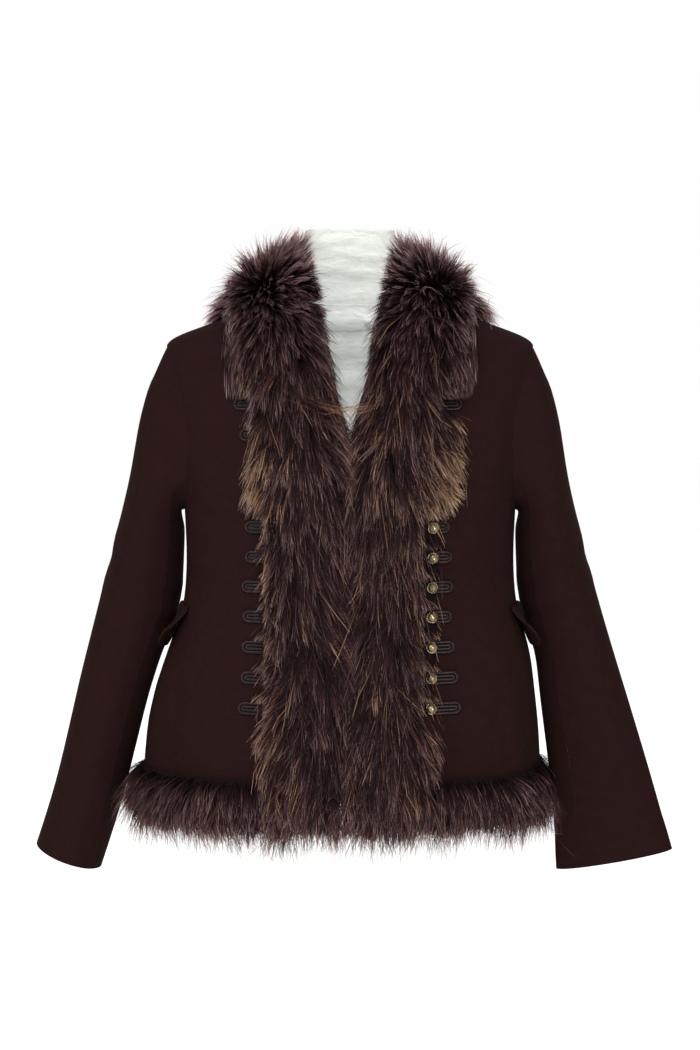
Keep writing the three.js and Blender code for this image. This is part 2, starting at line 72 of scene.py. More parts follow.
scene = bpy.context.scene
bpy.ops.object.select_all(action="DESELECT")
bpy.ops.object.camera_add(location=CAMERA_PLACE, rotation=(math.pi / 2 - CAMERA_PITCH, 0, 0))
camera = bpy.context.object
camera.data.lens = CAMERA_LENS
scene.camera = camera
scene.view_settings.view_transform = "Standard"
print("camera at", tuple(camera.location), "lens", camera.data.lens)


# %% Small tools for nodes and colours
def linear(hex_colour):
    """An sRGB hex colour as linear red, green, blue and alpha."""
    parts = [int(hex_colour[i:i + 2], 16) / 255 for i in (1, 3, 5)]
    return tuple(c / 12.92 if c <= 0.04045 else ((c + 0.055) / 1.055) ** 2.4 for c in parts) + (1,)


def add_node(tree, kind, links=None, **settings):
    """Adds a node; settings are its properties or sockets, and links feed its sockets."""
    made = tree.nodes.new(kind)
    for name, value in settings.items():
        if hasattr(made, name):
            setattr(made, name, value)
        else:
            made.inputs[name.replace("_", " ")].default_value = value
    for socket, source in (links or {}).items():
        tree.links.new(source, made.inputs[socket])
    return made


def new_material(name, **sockets):
    """A Principled material with these sockets set, and its tree and shader."""
    material = bpy.data.materials.new(name)
    material.use_nodes = True
    shader = material.node_tree.nodes["Principled BSDF"]
    for socket, value in sockets.items():
        shader.inputs[socket.replace("_", " ")].default_value = value
    return material, material.node_tree, shader


# %% Floor and lamps
FLOOR_Z = -900 * MM
STAGE_SPAN = 24
SKY = 1.0

bpy.ops.object.select_all(action="DESELECT")
bpy.ops.mesh.primitive_plane_add(size=STAGE_SPAN, location=(0, 0, FLOOR_Z))
floor = bpy.context.object
floor.name = "floor"
floor_paint, _, _ = new_material("matt white floor paint", Base_Color=(1, 1, 1, 1), Roughness=1)
floor.data.materials.append(floor_paint)

LAMPS = {  # place in metres, width and power
    "front": ((0, -3.0, 1.5), 0.8, 120),
    "key": ((-1.6, -2.2, 1.2), 1.4, 26),
    "top": ((0.3, 1.2, 2.0), 1.6, 20),
}
AIM = Vector((0, 0, -0.25))
for name, (place, width, power) in LAMPS.items():
    turn = (AIM - Vector(place)).to_track_quat("-Z", "Y").to_euler()
    bpy.ops.object.light_add(type="AREA", location=place, rotation=turn)
    lamp = bpy.context.object
    lamp.name = name
    lamp.data.size = width
    lamp.data.energy = power

world = bpy.data.worlds.new("sky")
scene.world = world
world.use_nodes = True
world.node_tree.nodes["Background"].inputs["Color"].default_value = (1, 1, 1, 1)
world.node_tree.nodes["Background"].inputs["Strength"].default_value = SKY
print("lamps:", sorted(LAMPS))

# %% [markdown]
# ## Finishes
# Melton is wool that is woven, shrunk and shorn until no thread shows. It is very matt, and only
# its felted fibres give it a fine mottle, so the colour varies by a shade and the bump is tiny.
# The lining is crinkled satin: smooth, pale, with a soft gloss and creases across the neck.


# %% Wool and satin
def melton():
    """Dark brown melton wool: matt, felted, with a faint nap that lightens at grazing angles."""
    material, tree, shader = new_material(
        "shorn melton wool", Roughness=0.94, Specular_IOR_Level=0.02, Sheen_Weight=0.025,
        Sheen_Roughness=0.45, Sheen_Tint=linear("#6b5450"))
    place = add_node(tree, "ShaderNodeTexCoord")
    mottle = add_node(tree, "ShaderNodeTexNoise", {"Vector": place.outputs["Object"]},
                      Scale=110, Detail=4, Roughness=0.6)  # felted patches about 9 mm across
    fibre = add_node(tree, "ShaderNodeTexNoise", {"Vector": place.outputs["Object"]},
                     Scale=900, Detail=2)  # nap of about a millimetre
    shade = add_node(tree, "ShaderNodeMix", {"Factor": mottle.outputs["Fac"]}, data_type="RGBA")
    shade.inputs[6].default_value = linear("#180c0b")
    shade.inputs[7].default_value = linear("#1f1110")
    nap = add_node(tree, "ShaderNodeMix", {"Factor": fibre.outputs["Fac"], 6: shade.outputs[2]},
                   data_type="RGBA", blend_type="MULTIPLY")
    nap.inputs[7].default_value = (0.72, 0.72, 0.74, 1)
    tree.links.new(nap.outputs[2], shader.inputs["Base Color"])
    bump = add_node(tree, "ShaderNodeBump", {"Height": fibre.outputs["Fac"]}, Strength=0.35)
    bump.inputs["Distance"].default_value = 0.4 * MM
    tree.links.new(bump.outputs["Normal"], shader.inputs["Normal"])
    return material


def satin():
    """Ivory satin that has been crinkled: a soft gloss broken by fine creases across the neck, with
    shade painted into the creases.
    """
    material, tree, shader = new_material(
        "ivory crinkled satin", Roughness=0.45, Specular_IOR_Level=0.35)
    place = add_node(tree, "ShaderNodeTexCoord")
    stretched = add_node(tree, "ShaderNodeMapping", {"Vector": place.outputs["Object"]},
                         Scale=(30, 30, 95))
    crinkle = add_node(tree, "ShaderNodeTexNoise", {"Vector": stretched.outputs["Vector"]},
                       Scale=1, Detail=5, Roughness=0.6, Distortion=0.6)
    # The crinkle that raises the bump also mixes the colour, so the satin is painted darker in its
    # hollows: painted shade in the creases.
    shade = add_node(tree, "ShaderNodeMix", {"Factor": crinkle.outputs["Fac"]}, data_type="RGBA")
    shade.inputs[6].default_value = linear("#acafa9")
    shade.inputs[7].default_value = linear("#dadcd7")
    tree.links.new(shade.outputs[2], shader.inputs["Base Color"])
    crumple = add_node(tree, "ShaderNodeTexNoise", {"Vector": place.outputs["Object"]},
                       Scale=48, Detail=3, Distortion=1.4)  # soft dents two centimetres across
    height = add_node(tree, "ShaderNodeMath", {0: crinkle.outputs["Fac"], 1: crumple.outputs["Fac"]},
                      operation="ADD")
    bump = add_node(tree, "ShaderNodeBump", {"Height": height.outputs[0]}, Strength=0.5)
    bump.inputs["Distance"].default_value = 3 * MM
    tree.links.new(bump.outputs["Normal"], shader.inputs["Normal"])
    return material


WOOL = melton()
SATIN = satin()
print("finishes:", WOOL.name, SATIN.name)

# %% [markdown]
# ## Cloth panels
# A panel could be simulated, but cut and sewn wool on a filled-out jacket keeps its block's form.
# So each panel is a thin shell on the frame's own form: a merged copy, turned to quads, with its
# edges creased and the rest subdivided smooth. Folds are then pressed in as soft troughs,
# each with its own place, width and depth. Both faces of the wall move together.


# %% Tools for shells
def only(piece):
    """Selects one object and makes it active."""
    bpy.ops.object.select_all(action="DESELECT")
    piece.select_set(True)
    bpy.context.view_layer.objects.active = piece


def apply_modifier(piece, kind, **settings):
    """Adds one modifier to a piece and applies it."""
    only(piece)
    modifier = piece.modifiers.new(kind.lower(), kind)
    for name, value in settings.items():
        setattr(modifier, name, value)
    bpy.ops.object.modifier_apply(modifier=modifier.name)


SHARP = math.radians(48)


def shell_of(node, name, levels, crease):
    """A smooth, merged copy of a frame node whose edges stay as firm as crease says."""
    piece = bpy.data.objects.new(name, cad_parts[node].data.copy())
    scene.collection.objects.link(piece)
    piece.data.materials.clear()
    only(piece)
    bpy.ops.object.mode_set(mode="EDIT")
    bpy.ops.mesh.select_all(action="SELECT")
    bpy.ops.mesh.remove_doubles(threshold=0.02 * MM)
    bpy.ops.mesh.customdata_custom_splitnormals_clear()
    bpy.ops.mesh.tris_convert_to_quads(face_threshold=SHARP, shape_threshold=math.radians(130))
    bpy.ops.mesh.select_all(action="DESELECT")
    bpy.ops.mesh.select_mode(type="EDGE")
    bpy.ops.mesh.edges_select_sharp(sharpness=SHARP)
    bpy.ops.object.mode_set(mode="OBJECT")
    firm = np.zeros(len(piece.data.edges), bool)
    piece.data.edges.foreach_get("select", firm)
    edge_crease = piece.data.attributes.new("crease_edge", "FLOAT", "EDGE")
    edge_crease.data.foreach_set("value", firm.astype(np.float32) * crease)
    apply_modifier(piece, "SUBSURF", levels=levels, render_levels=levels)
    bpy.ops.object.shade_smooth_by_angle(angle=SHARP)
    return piece


def values_of(elements, field, width=1, kind=float):
    """One field of a mesh's corners, faces or loops as an array, a row for each."""
    values = np.empty(len(elements) * width, kind)
    elements.foreach_get(field, values)
    return values.reshape(-1, width)


def points_of(piece):
    """The corners of a mesh in millimetres."""
    return values_of(piece.data.vertices, "co", 3) / MM


def quads_of(piece):
    """The corners of each face of a wall that is all quads."""
    return values_of(piece.data.loops, "vertex_index", kind=int).reshape(-1, 4)


def set_points(piece, points):
    piece.data.vertices.foreach_set("co", (points * MM).ravel())
    piece.data.update()


def unit(v):
    return v / np.maximum(np.linalg.norm(v, axis=-1, keepdims=True), 1e-9)


def smoothstep(low, high, x):
    t = np.clip((x - low) / (high - low), 0, 1)
    return t * t * (3 - 2 * t)


def troughs(u, v, folds):
    """How far folds push in at the places u, v. Each is (u0, v0, u1, v1, width, depth)."""
    push = np.zeros_like(u)
    for u0, v0, u1, v1, width, depth in folds:
        along = np.array([u1 - u0, v1 - v0], float)
        length = np.hypot(*along)
        along /= length
        t = ((u - u0) * along[0] + (v - v0) * along[1]) / length
        off = (v - v0) * along[0] - (u - u0) * along[1]
        off = off + 0.22 * width * np.sin(t * 5 + u0)  # no fold is quite straight
        ends = smoothstep(-0.15, 0.3, t) * smoothstep(1.15, 0.7, t)
        valley = np.exp(-(off / width) ** 2)
        ridge = 0.55 * np.exp(-((np.abs(off) - 1.7 * width) / width) ** 2)
        push += depth * ends * (valley - ridge)
    return push


RIM_FACE = 0.9  # faces round the border of a wall are narrower than this
RIM_OUT = 0.3
ARMHOLE_RIM_OUT = 0.7  # the seams that turn most need more
FACING = 32  # width of wool turned in round the armholes before the lining begins
FACES_IN = -0.35  # a face this far turned to its axis is on the inside
ARMHOLE_X, ARMHOLE_Z = 120, -300  # armholes lie further out and higher than this


def close_rims(piece):
    """Moves a wall's border outwards a little, so that seams meet; gives each corner's way to it."""
    p = points_of(piece)
    quads = quads_of(piece)
    normal = values_of(piece.data.polygons, "normal", 3)
    sides = np.linalg.norm(p[quads] - p[np.roll(quads, 1, axis=1)], axis=2)
    rim = sides.min(1) < RIM_FACE
    push = np.zeros_like(p)
    np.add.at(push, quads[rim], np.repeat(normal[rim][:, None], 4, axis=1))
    armhole = (np.abs(p[:, 0]) > ARMHOLE_X) & (p[:, 2] > ARMHOLE_Z)
    out = np.where(armhole, ARMHOLE_RIM_OUT, RIM_OUT)
    set_points(piece, p + out[:, None] * unit(push))
    border = np.flatnonzero(np.abs(push).sum(1) > 0)
    tree = KDTree(len(border))
    for k in border:
        tree.insert(p[k], k)
    tree.balance()
    return np.array([tree.find(corner)[2] for corner in p])


def line_with(piece, outside, inside, axis_of, to_seam):
    """Gives a wall one finish on its outer face and another on the face towards its axis."""
    piece.data.materials.append(outside)
    piece.data.materials.append(inside)
    centre = values_of(piece.data.polygons, "center", 3) / MM
    normal = values_of(piece.data.polygons, "normal", 3)
    away = unit(centre - axis_of(centre))
    elsewhere = (np.abs(centre[:, 0]) < ARMHOLE_X) | (centre[:, 2] < ARMHOLE_Z)
    clear = (to_seam[quads_of(piece)].min(1) > FACING) | elsewhere
    inner = ((normal * away).sum(1) < FACES_IN) & clear
    piece.data.polygons.foreach_set("material_index", inner.astype(np.int32))
    piece.data.update()


def flat_area(piece):
    """Half of a wall's surface, in square metres: the cloth that it is cut from."""
    return sum(p.area for p in piece.data.polygons) / 2


# %% [markdown]
# ## The body of the jacket
# Two fronts and two backs. Places on them are given as the turn in degrees from the centre front
# and the height. Wool this thick makes few folds: drag lines from the armhole, a slack place above
# the waist, and shallow hollows over the hips. The back gets the same kinds, never the same ones.

# %% Fronts and backs
TORSO_HALF_WIDTH = 200
TORSO_HALF_DEPTH = 122
MM_PER_DEGREE = 2.9  # round the body


def torso_axis(p):
    return np.column_stack([np.zeros(len(p)), np.zeros(len(p)), np.clip(p[:, 2], -480, -140)])


def torso_turn(p):
    return np.degrees(np.arctan2(p[:, 0] / TORSO_HALF_WIDTH, -p[:, 1] / TORSO_HALF_DEPTH))


TORSO_FOLDS = {  # degrees from the centre front and millimetres of height, then width and depth
    "front_left": [(70, -215, 46, -262, 9, 1.9), (84, -300, 50, -322, 12, 2.2),
                   (80, -352, 58, -360, 9, 1.4), (62, -400, 66, -520, 14, 1.8),
                   (48, -150, 40, -205, 13, 1.2), (50, -440, 47, -530, 12, 1.4)],
    "front_right": [(-68, -222, -44, -258, 10, 1.8), (-86, -308, -54, -326, 11, 2.4),
                    (-74, -366, -52, -380, 10, 1.3), (-58, -410, -63, -525, 15, 1.7),
                    (-46, -158, -41, -200, 12, 1.3), (-80, -420, -78, -500, 10, 1.2)],
    "back_left": [(118, -222, 142, -262, 12, 2.1), (96, -312, 140, -326, 13, 2.4),
                  (104, -358, 150, -350, 11, 1.6), (132, -400, 138, -520, 15, 2),
                  (160, -90, 128, -112, 13, 1.3), (165, -300, 172, -362, 12, 1.4)],
    "back_right": [(-116, -230, -140, -258, 12, 1.9), (-98, -318, -146, -330, 12, 2.6),
                   (-108, -366, -152, -356, 10, 1.5), (-128, -410, -134, -525, 14, 2.1),
                   (-158, -84, -130, -108, 12, 1.2), (-168, -310, -170, -368, 11, 1.5)],
}
PANEL_LEVELS = 2
PANEL_CREASE = 1
panels = {}
for node, folds in TORSO_FOLDS.items():
    piece = shell_of(node, "wool_" + node, PANEL_LEVELS, PANEL_CREASE)
    to_seam = close_rims(piece)
    p = points_of(piece)
    round_body = [(u0 * MM_PER_DEGREE, v0, u1 * MM_PER_DEGREE, v1, w, d)
                  for u0, v0, u1, v1, w, d in folds]
    push = troughs(torso_turn(p) * MM_PER_DEGREE, p[:, 2], round_body)
    free = smoothstep(-60, -110, p[:, 2]) * smoothstep(2, 18, to_seam)
    set_points(piece, p - unit(p - torso_axis(p)) * (push * free)[:, None])
    line_with(piece, WOOL, SATIN, torso_axis, to_seam)
    panels[node] = piece
    print(piece.name, len(piece.data.polygons), "faces,", round(flat_area(piece), 4), "m2")

# %% [markdown]
# ## Sleeves
# Each sleeve is cut in two pieces, an upper and an under sleeve, and curves forward at the elbow.
# Folds gather at the inner elbow and under the arm. They are placed by how far down the arm they
# are and how far round it, measured on a line through the middle of the arm.

# %% Sleeves
ARM_LINE = {  # middle of the arm from the armhole to the cuff
    "left": [(186, 4, -110), (198, 8, -165), (219, 18, -257), (232, 25, -337), (250, 23, -396),
             (262, 15, -453), (285, 2, -560), (298, -8, -640)],
    "right": [(-186, 4, -110), (-198, 8, -165), (-221, 18, -257), (-234, 25, -337),
              (-252, 23, -395), (-268, 16, -451), (-294, 6, -560), (-318, 0, -636)],
}
ARM_FOLDS = {  # round the arm in degrees from its outside over the front, then millimetres down it
    "left": [(96, 62, 186, 84, 9, 2.6), (110, 128, 190, 118, 8, 1.8), (70, 206, 176, 232, 10, 2.6),
             (84, 262, 180, 246, 8, 2.1), (60, 300, 150, 322, 9, 1.6), (-20, 180, 30, 215, 14, 1.2),
             (200, 90, 290, 70, 11, 2.2), (196, 238, 282, 214, 11, 2.4), (204, 290, 270, 300, 9, 1.5),
             (40, 420, 150, 408, 12, 1.2), (210, 420, 300, 436, 11, 1.3)],
    "right": [(92, 70, 184, 92, 10, 2.4), (114, 140, 186, 126, 8, 1.7), (74, 214, 178, 240, 9, 2.8),
              (80, 270, 176, 256, 8, 1.9), (66, 308, 146, 334, 10, 1.5), (-24, 190, 34, 222, 13, 1.3),
              (202, 84, 286, 66, 12, 2.3), (194, 246, 286, 224, 10, 2.2), (208, 300, 274, 292, 9, 1.6),
              (44, 410, 146, 424, 11, 1.3), (214, 428, 296, 416, 12, 1.2)],
}


def arm_places(p, line):
    """The nearest point of the arm's line, how far down it that lies, and the turn round it."""
    line = np.array(line, float)
    best = np.full(len(p), 1e9)
    axis, down = np.zeros_like(p), np.zeros(len(p))
    start = 0.0
    for a, b in zip(line[:-1], line[1:]):
        span = b - a
        t = np.clip(((p - a) @ span) / (span @ span), 0, 1)
        near = a + t[:, None] * span
        gap = np.linalg.norm(p - near, axis=1)
        better = gap < best
        best[better], axis[better] = gap[better], near[better]
        down[better] = start + t[better] * np.linalg.norm(span)
        start += np.linalg.norm(span)
    return axis, down


for hand, side in HANDS.items():
    line = ARM_LINE[hand]
    for part in ("upper", "under"):
        piece = shell_of(f"sleeve_{part}_{hand}", f"wool_sleeve_{part}_{hand}",
                         PANEL_LEVELS, PANEL_CREASE)
        to_seam = close_rims(piece)
        p = points_of(piece)
        axis, down = arm_places(p, line)
        away = p - axis
        turn = np.degrees(np.arctan2(-away[:, 1], side * away[:, 0]))  # 0 outside, 90 front
        turn = np.where(turn < -60, turn + 360, turn)
        push = troughs(turn * 0.8, down, [(a * 0.8, b, c * 0.8, d, w, h)
                                          for a, b, c, d, w, h in ARM_FOLDS[hand]])
        free = smoothstep(20, 70, down) * smoothstep(4, 10, np.linalg.norm(away, axis=1))
        set_points(piece, p - unit(away) * (push * free)[:, None])
        line_with(piece, WOOL, SATIN, lambda c: arm_places(c, ARM_LINE[hand])[0], to_seam)
        panels[f"sleeve_{part}_{hand}"] = piece
        print(piece.name, len(piece.data.polygons), "faces,", round(flat_area(piece), 4), "m2")

# %% [markdown]
# ## The lining that shows
# Ivory satin fills the open neck: one piece stands inside the collar and one hangs down inside the
# back. It is soft, so it creases across. Three deep folds and many shallow ones are pressed in.

# %% Linings
LINING_LEVELS = 2
LINING_LAP = 15
LINING_FOLDS = [  # x and height at both ends, width and depth
    (-74, -34, 70, -40, 6.5, 13), (-66, -70, 70, -62, 6, 3), (-52, -100, 50, -106, 7, 6),
    (-60, -48, 20, -44, 4, 1.5), (-10, -86, 64, -92, 5, 1.9), (-58, -104, 10, -98, 4, 1.4),
    (-40, -156, 44, -150, 5, 1.8), (-72, -8, 10, -14, 4, 1.6), (0, -4, 70, 4, 5, 1.7),
    (-60, 24, 34, 16, 5, 1.6), (-20, 40, 60, 34, 4, 1.4), (-50, 52, 10, 56, 3.5, 1.2),
    (-60, -190, 60, -200, 9, 2.6), (-70, -240, 50, -232, 9, 2.4), (-40, -280, 70, -292, 10, 2.6),
]


def lining_push(p):
    push = troughs(p[:, 0], p[:, 2], LINING_FOLDS)
    ripple = np.sin(p[:, 2] / 3.1 + 1.4 * np.sin(p[:, 0] / 23)) * np.sin(p[:, 0] / 31 + p[:, 2] / 17)
    return push + 0.45 * ripple


linings = {}
for node in ("collar_lining", "back_lining"):
    piece = shell_of(node, "satin_" + node, LINING_LEVELS, 0.6)
    p = points_of(piece)
    away = np.column_stack([p[:, 0], p[:, 1], np.zeros(len(p))])
    # Folds only move the satin in towards the neck, because the wool lies right behind it.
    inward = np.maximum(lining_push(p) + 0.6, 0)
    if node == "collar_lining":  # laps over the top of the back's lining
        foot = smoothstep(12, 2, p[:, 2] - p[:, 2].min())
        p[:, 2] -= LINING_LAP * foot
        inward = inward + 0.8 * foot
    set_points(piece, p - unit(away) * inward[:, None])
    piece.data.materials.append(SATIN)
    linings[node] = piece
    print(piece.name, len(piece.data.polygons), "faces,", round(flat_area(piece), 4), "m2")

# %% [markdown]
# ## Finding the cloth under the trim
# Cords, buttons and fur lie on the wool, so they are placed by asking the wool where it is. A
# search tree over its faces answers two questions: what does a straight line from the front hit,
# and which point of the cloth is nearest.


# %% The cloth as a search tree
def tree_of(*cloths):
    """A search tree over the faces of some pieces, in millimetres."""
    corners, faces = [], []
    for cloth in cloths:
        first = sum(len(c) for c in corners)
        corners.append(points_of(cloth))
        faces += [[first + v for v in p.vertices] for p in cloth.data.polygons]
    return BVHTree.FromPolygons(np.vstack(corners).tolist(), faces)


BODY_TREE = tree_of(*(panels[n] for n in TORSO_FOLDS))
FRONT_TREES = {hand: tree_of(panels["front_" + hand]) for hand in HANDS}


def on_front(hand, x, z):
    """The wool and its normal straight behind a place on the front, x outwards from the middle."""
    start = Vector((HANDS[hand] * x, -400, z))
    place, normal = FRONT_TREES[hand].ray_cast(start, Vector((0, 1, 0)))[:2]
    return np.array(place), np.array(normal)


def nearest_cloth(points):
    """The nearest point of the body's wool to each point."""
    return np.array([BODY_TREE.find_nearest(Vector(p))[0] for p in points])


print("cloth under (80, -300):", on_front("left", 80, -300)[0].round(1))

# %% [markdown]
# ## Frogging
# Each row of frogging is a satin rat-tail cord laid in two nested loops and sewn down, its ends
# run in under the fur. A round cord is a tube along a path, so one function makes every tube: it
# lays rings along the path and keeps their tops turned away from the cloth. Each tube gets a UV
# map, along and around, so that the twill of the cord can run slantwise round it.


# %% Cord finish and tubes
def rat_tail():
    """Dark satin cord: a soft streak of light along it, broken by its slanting twill, whose grooves
    are painted darker as shade.
    """
    material, tree, shader = new_material(
        "dark satin rat-tail cord", Roughness=0.22, Specular_IOR_Level=0.12)
    uv = add_node(tree, "ShaderNodeUVMap", uv_map="length")
    slant = add_node(tree, "ShaderNodeMapping", {"Vector": uv.outputs["UV"]})
    slant.inputs["Rotation"].default_value = (0, 0, math.radians(38))
    twill = add_node(tree, "ShaderNodeTexWave", {"Vector": slant.outputs["Vector"]},
                     Scale=0.55, Distortion=0.8)  # a slanting ridge every millimetre or so
    # The twill wave also mixes the colour: darker in its grooves and lighter on its ridges, as painted
    # shade along the twill.
    tone = add_node(tree, "ShaderNodeMix", {"Factor": twill.outputs["Fac"]}, data_type="RGBA")
    tone.inputs[6].default_value = linear("#0b0606")
    tone.inputs[7].default_value = linear("#221413")
    tree.links.new(tone.outputs[2], shader.inputs["Base Color"])
    bump = add_node(tree, "ShaderNodeBump", {"Height": twill.outputs["Fac"]}, Strength=0.5)
    bump.inputs["Distance"].default_value = 0.25 * MM
    tree.links.new(bump.outputs["Normal"], shader.inputs["Normal"])
    return material


RAT_TAIL = rat_tail()


def tube(path, tops, radius, sides=10):
    """Corners, faces and UVs of a closed-ended tube along a path, its top turned to tops."""
    along = np.gradient(path, axis=0)
    across = unit(np.cross(unit(along), tops))
    up = unit(np.cross(across, unit(along)))
    turn = np.arange(sides) * 2 * np.pi / sides
    ring = across[:, None] * np.cos(turn)[:, None] + up[:, None] * np.sin(turn)[:, None]
    corners = (path[:, None] + radius * ring).reshape(-1, 3)
    faces = []
    for r in range(len(path) - 1):
        for s in range(sides):
            n = (s + 1) % sides
            faces.append([r * sides + s, (r + 1) * sides + s, (r + 1) * sides + n, r * sides + n])
    faces.append(list(range(sides)))
    faces.append(list(range(len(corners) - 1, len(corners) - sides - 1, -1)))
    run = np.concatenate([[0], np.cumsum(np.linalg.norm(np.diff(path, axis=0), axis=1))])
    uv = np.column_stack([np.repeat(run, sides), np.tile(turn * radius, len(path))])
    return corners, faces, uv


def piece_of(name, parts, material):
    """One object from several (corners, faces, uv) parts, with its normals turned outwards."""
    corners, faces, uv = [], [], []
    for part in parts:
        first = sum(len(c) for c in corners)
        corners.append(part[0])
        uv.append(part[2])
        faces += [[first + v for v in f] for f in part[1]]
    mesh = bpy.data.meshes.new(name)
    mesh.from_pydata((np.vstack(corners) * MM).tolist(), [], faces)
    layer = mesh.uv_layers.new(name="length")
    corner_of = values_of(mesh.loops, "vertex_index", kind=int).ravel()
    layer.data.foreach_set("uv", np.vstack(uv)[corner_of].ravel())
    piece = bpy.data.objects.new(name, mesh)
    scene.collection.objects.link(piece)
    mesh.materials.append(material)
    only(piece)
    bpy.ops.object.mode_set(mode="EDIT")
    bpy.ops.mesh.select_all(action="SELECT")
    bpy.ops.mesh.normals_make_consistent(inside=False)
    bpy.ops.object.mode_set(mode="OBJECT")
    bpy.ops.object.shade_smooth_by_angle(angle=math.radians(60))
    return piece


# %% Loops of cord
ROW_PITCH = 32.7
ROW_FIRST_Z = -124.6
ROWS = 11
LOOP_ENDS = {  # how far out each row's loops reach, from the top row down
    "left": [121, 116, 112, 109, 107, 110, 111, 110, 113, 117, 120],
    "right": [126, 119, 116, 114, 113, 113, 117, 116, 117, 118, 121],
}
STRIP_Z = [-528, -450, -208, -168, -120, -75, -35]  # heights, and the fur strip's edge there
STRIP_X = [97, 99, 101, 108, 120, 135, 144]
LOOP_RADII = (5.35, 1.8)  # the outer loop and the one nested in it
CORD_RADIUS = 1.75
UNDER_FUR = 21  # how far in under the strip's edge the cords begin


def loop_path(hand, z, reach, radius):
    """Out along one leg, round the end and back, lying on the wool."""
    start = np.interp(z, STRIP_Z, STRIP_X) - UNDER_FUR
    end = reach - LOOP_RADII[0] - CORD_RADIUS
    leg = np.linspace(start, end, 9)[:-1]
    bend = np.linspace(0, math.pi, 13)
    xs = np.concatenate([leg, end + radius * np.sin(bend), leg[::-1]])
    zs = np.concatenate([leg * 0 + radius, radius * np.cos(bend), leg * 0 - radius])
    places = [on_front(hand, x, z + dz) for x, dz in zip(xs, zs)]
    normals = np.array([n for _, n in places])
    return np.array([p for p, _ in places]) + normals * CORD_RADIUS * 0.95, normals


loops = {}
for hand in HANDS:
    for row in range(ROWS):
        z = ROW_FIRST_Z - row * ROW_PITCH
        reach = LOOP_ENDS[hand][row]
        parts = [tube(*loop_path(hand, z, reach, r), CORD_RADIUS) for r in LOOP_RADII]
        node = f"frog_loop_{hand}_{row + 1}"
        loops[node] = piece_of("cord_" + node[5:], parts, RAT_TAIL)
print(len(loops), "loops of cord,", len(loops["frog_loop_left_1"].data.polygons), "faces each")

# %% [markdown]
# ## Buttons
# The buttons are stamped brass domes with a filigree of petals and beads, gilt and gone dark in
# the hollows. One is modelled with care and copied to each row. The dome is a sphere cut in half;
# the petals and beads are small spheres pressed onto it, and the rim is a roped ring.


# %% Brass
def brass(name, low, high, roughness):
    """Antique gilt brass: tarnish lies where it can't be rubbed, so it is drawn as soft patches."""
    material, tree, shader = new_material(name, Metallic=1, Roughness=roughness)
    place = add_node(tree, "ShaderNodeTexCoord")
    tarnish = add_node(tree, "ShaderNodeTexNoise", {"Vector": place.outputs["Object"]},
                       Scale=420, Detail=3)  # patches of about two millimetres
    tone = add_node(tree, "ShaderNodeMix", {"Factor": tarnish.outputs["Fac"]}, data_type="RGBA")
    tone.inputs[6].default_value = linear(low)
    tone.inputs[7].default_value = linear(high)
    tree.links.new(tone.outputs[2], shader.inputs["Base Color"])
    return material


TARNISHED = brass("tarnished brass ground", "#4f412b", "#94825f", 0.45)
RUBBED = brass("rubbed gilt brass", "#c9b48a", "#f7ebd0", 0.26)

# %% One button
BUTTON_RADIUS = 6.2
DOME_RADIUS = BUTTON_RADIUS - 0.7
DOME_SQUASH = 0.7
RIM_RADIUS = BUTTON_RADIUS - 0.85
PETALS = 8
RIM_BEADS = 16


def on_dome(polar, turn, lift=0.0):
    """A place on the dome, polar degrees from its top."""
    a = math.radians(polar)
    r = DOME_RADIUS * math.sin(a)
    height = DOME_RADIUS * DOME_SQUASH * math.cos(a)
    return Vector((r * math.cos(turn), r * math.sin(turn), height + 1 + lift)) * MM


def add_bead(place, radius, material, detail=1, stretch=(1, 1, 1), rotation=(0, 0, 0)):
    bpy.ops.object.select_all(action="DESELECT")
    bpy.ops.mesh.primitive_ico_sphere_add(subdivisions=detail + 1, radius=radius * MM,
                                          location=place, rotation=rotation, scale=stretch)
    bead = bpy.context.object
    bead.data.materials.append(material)
    return bead


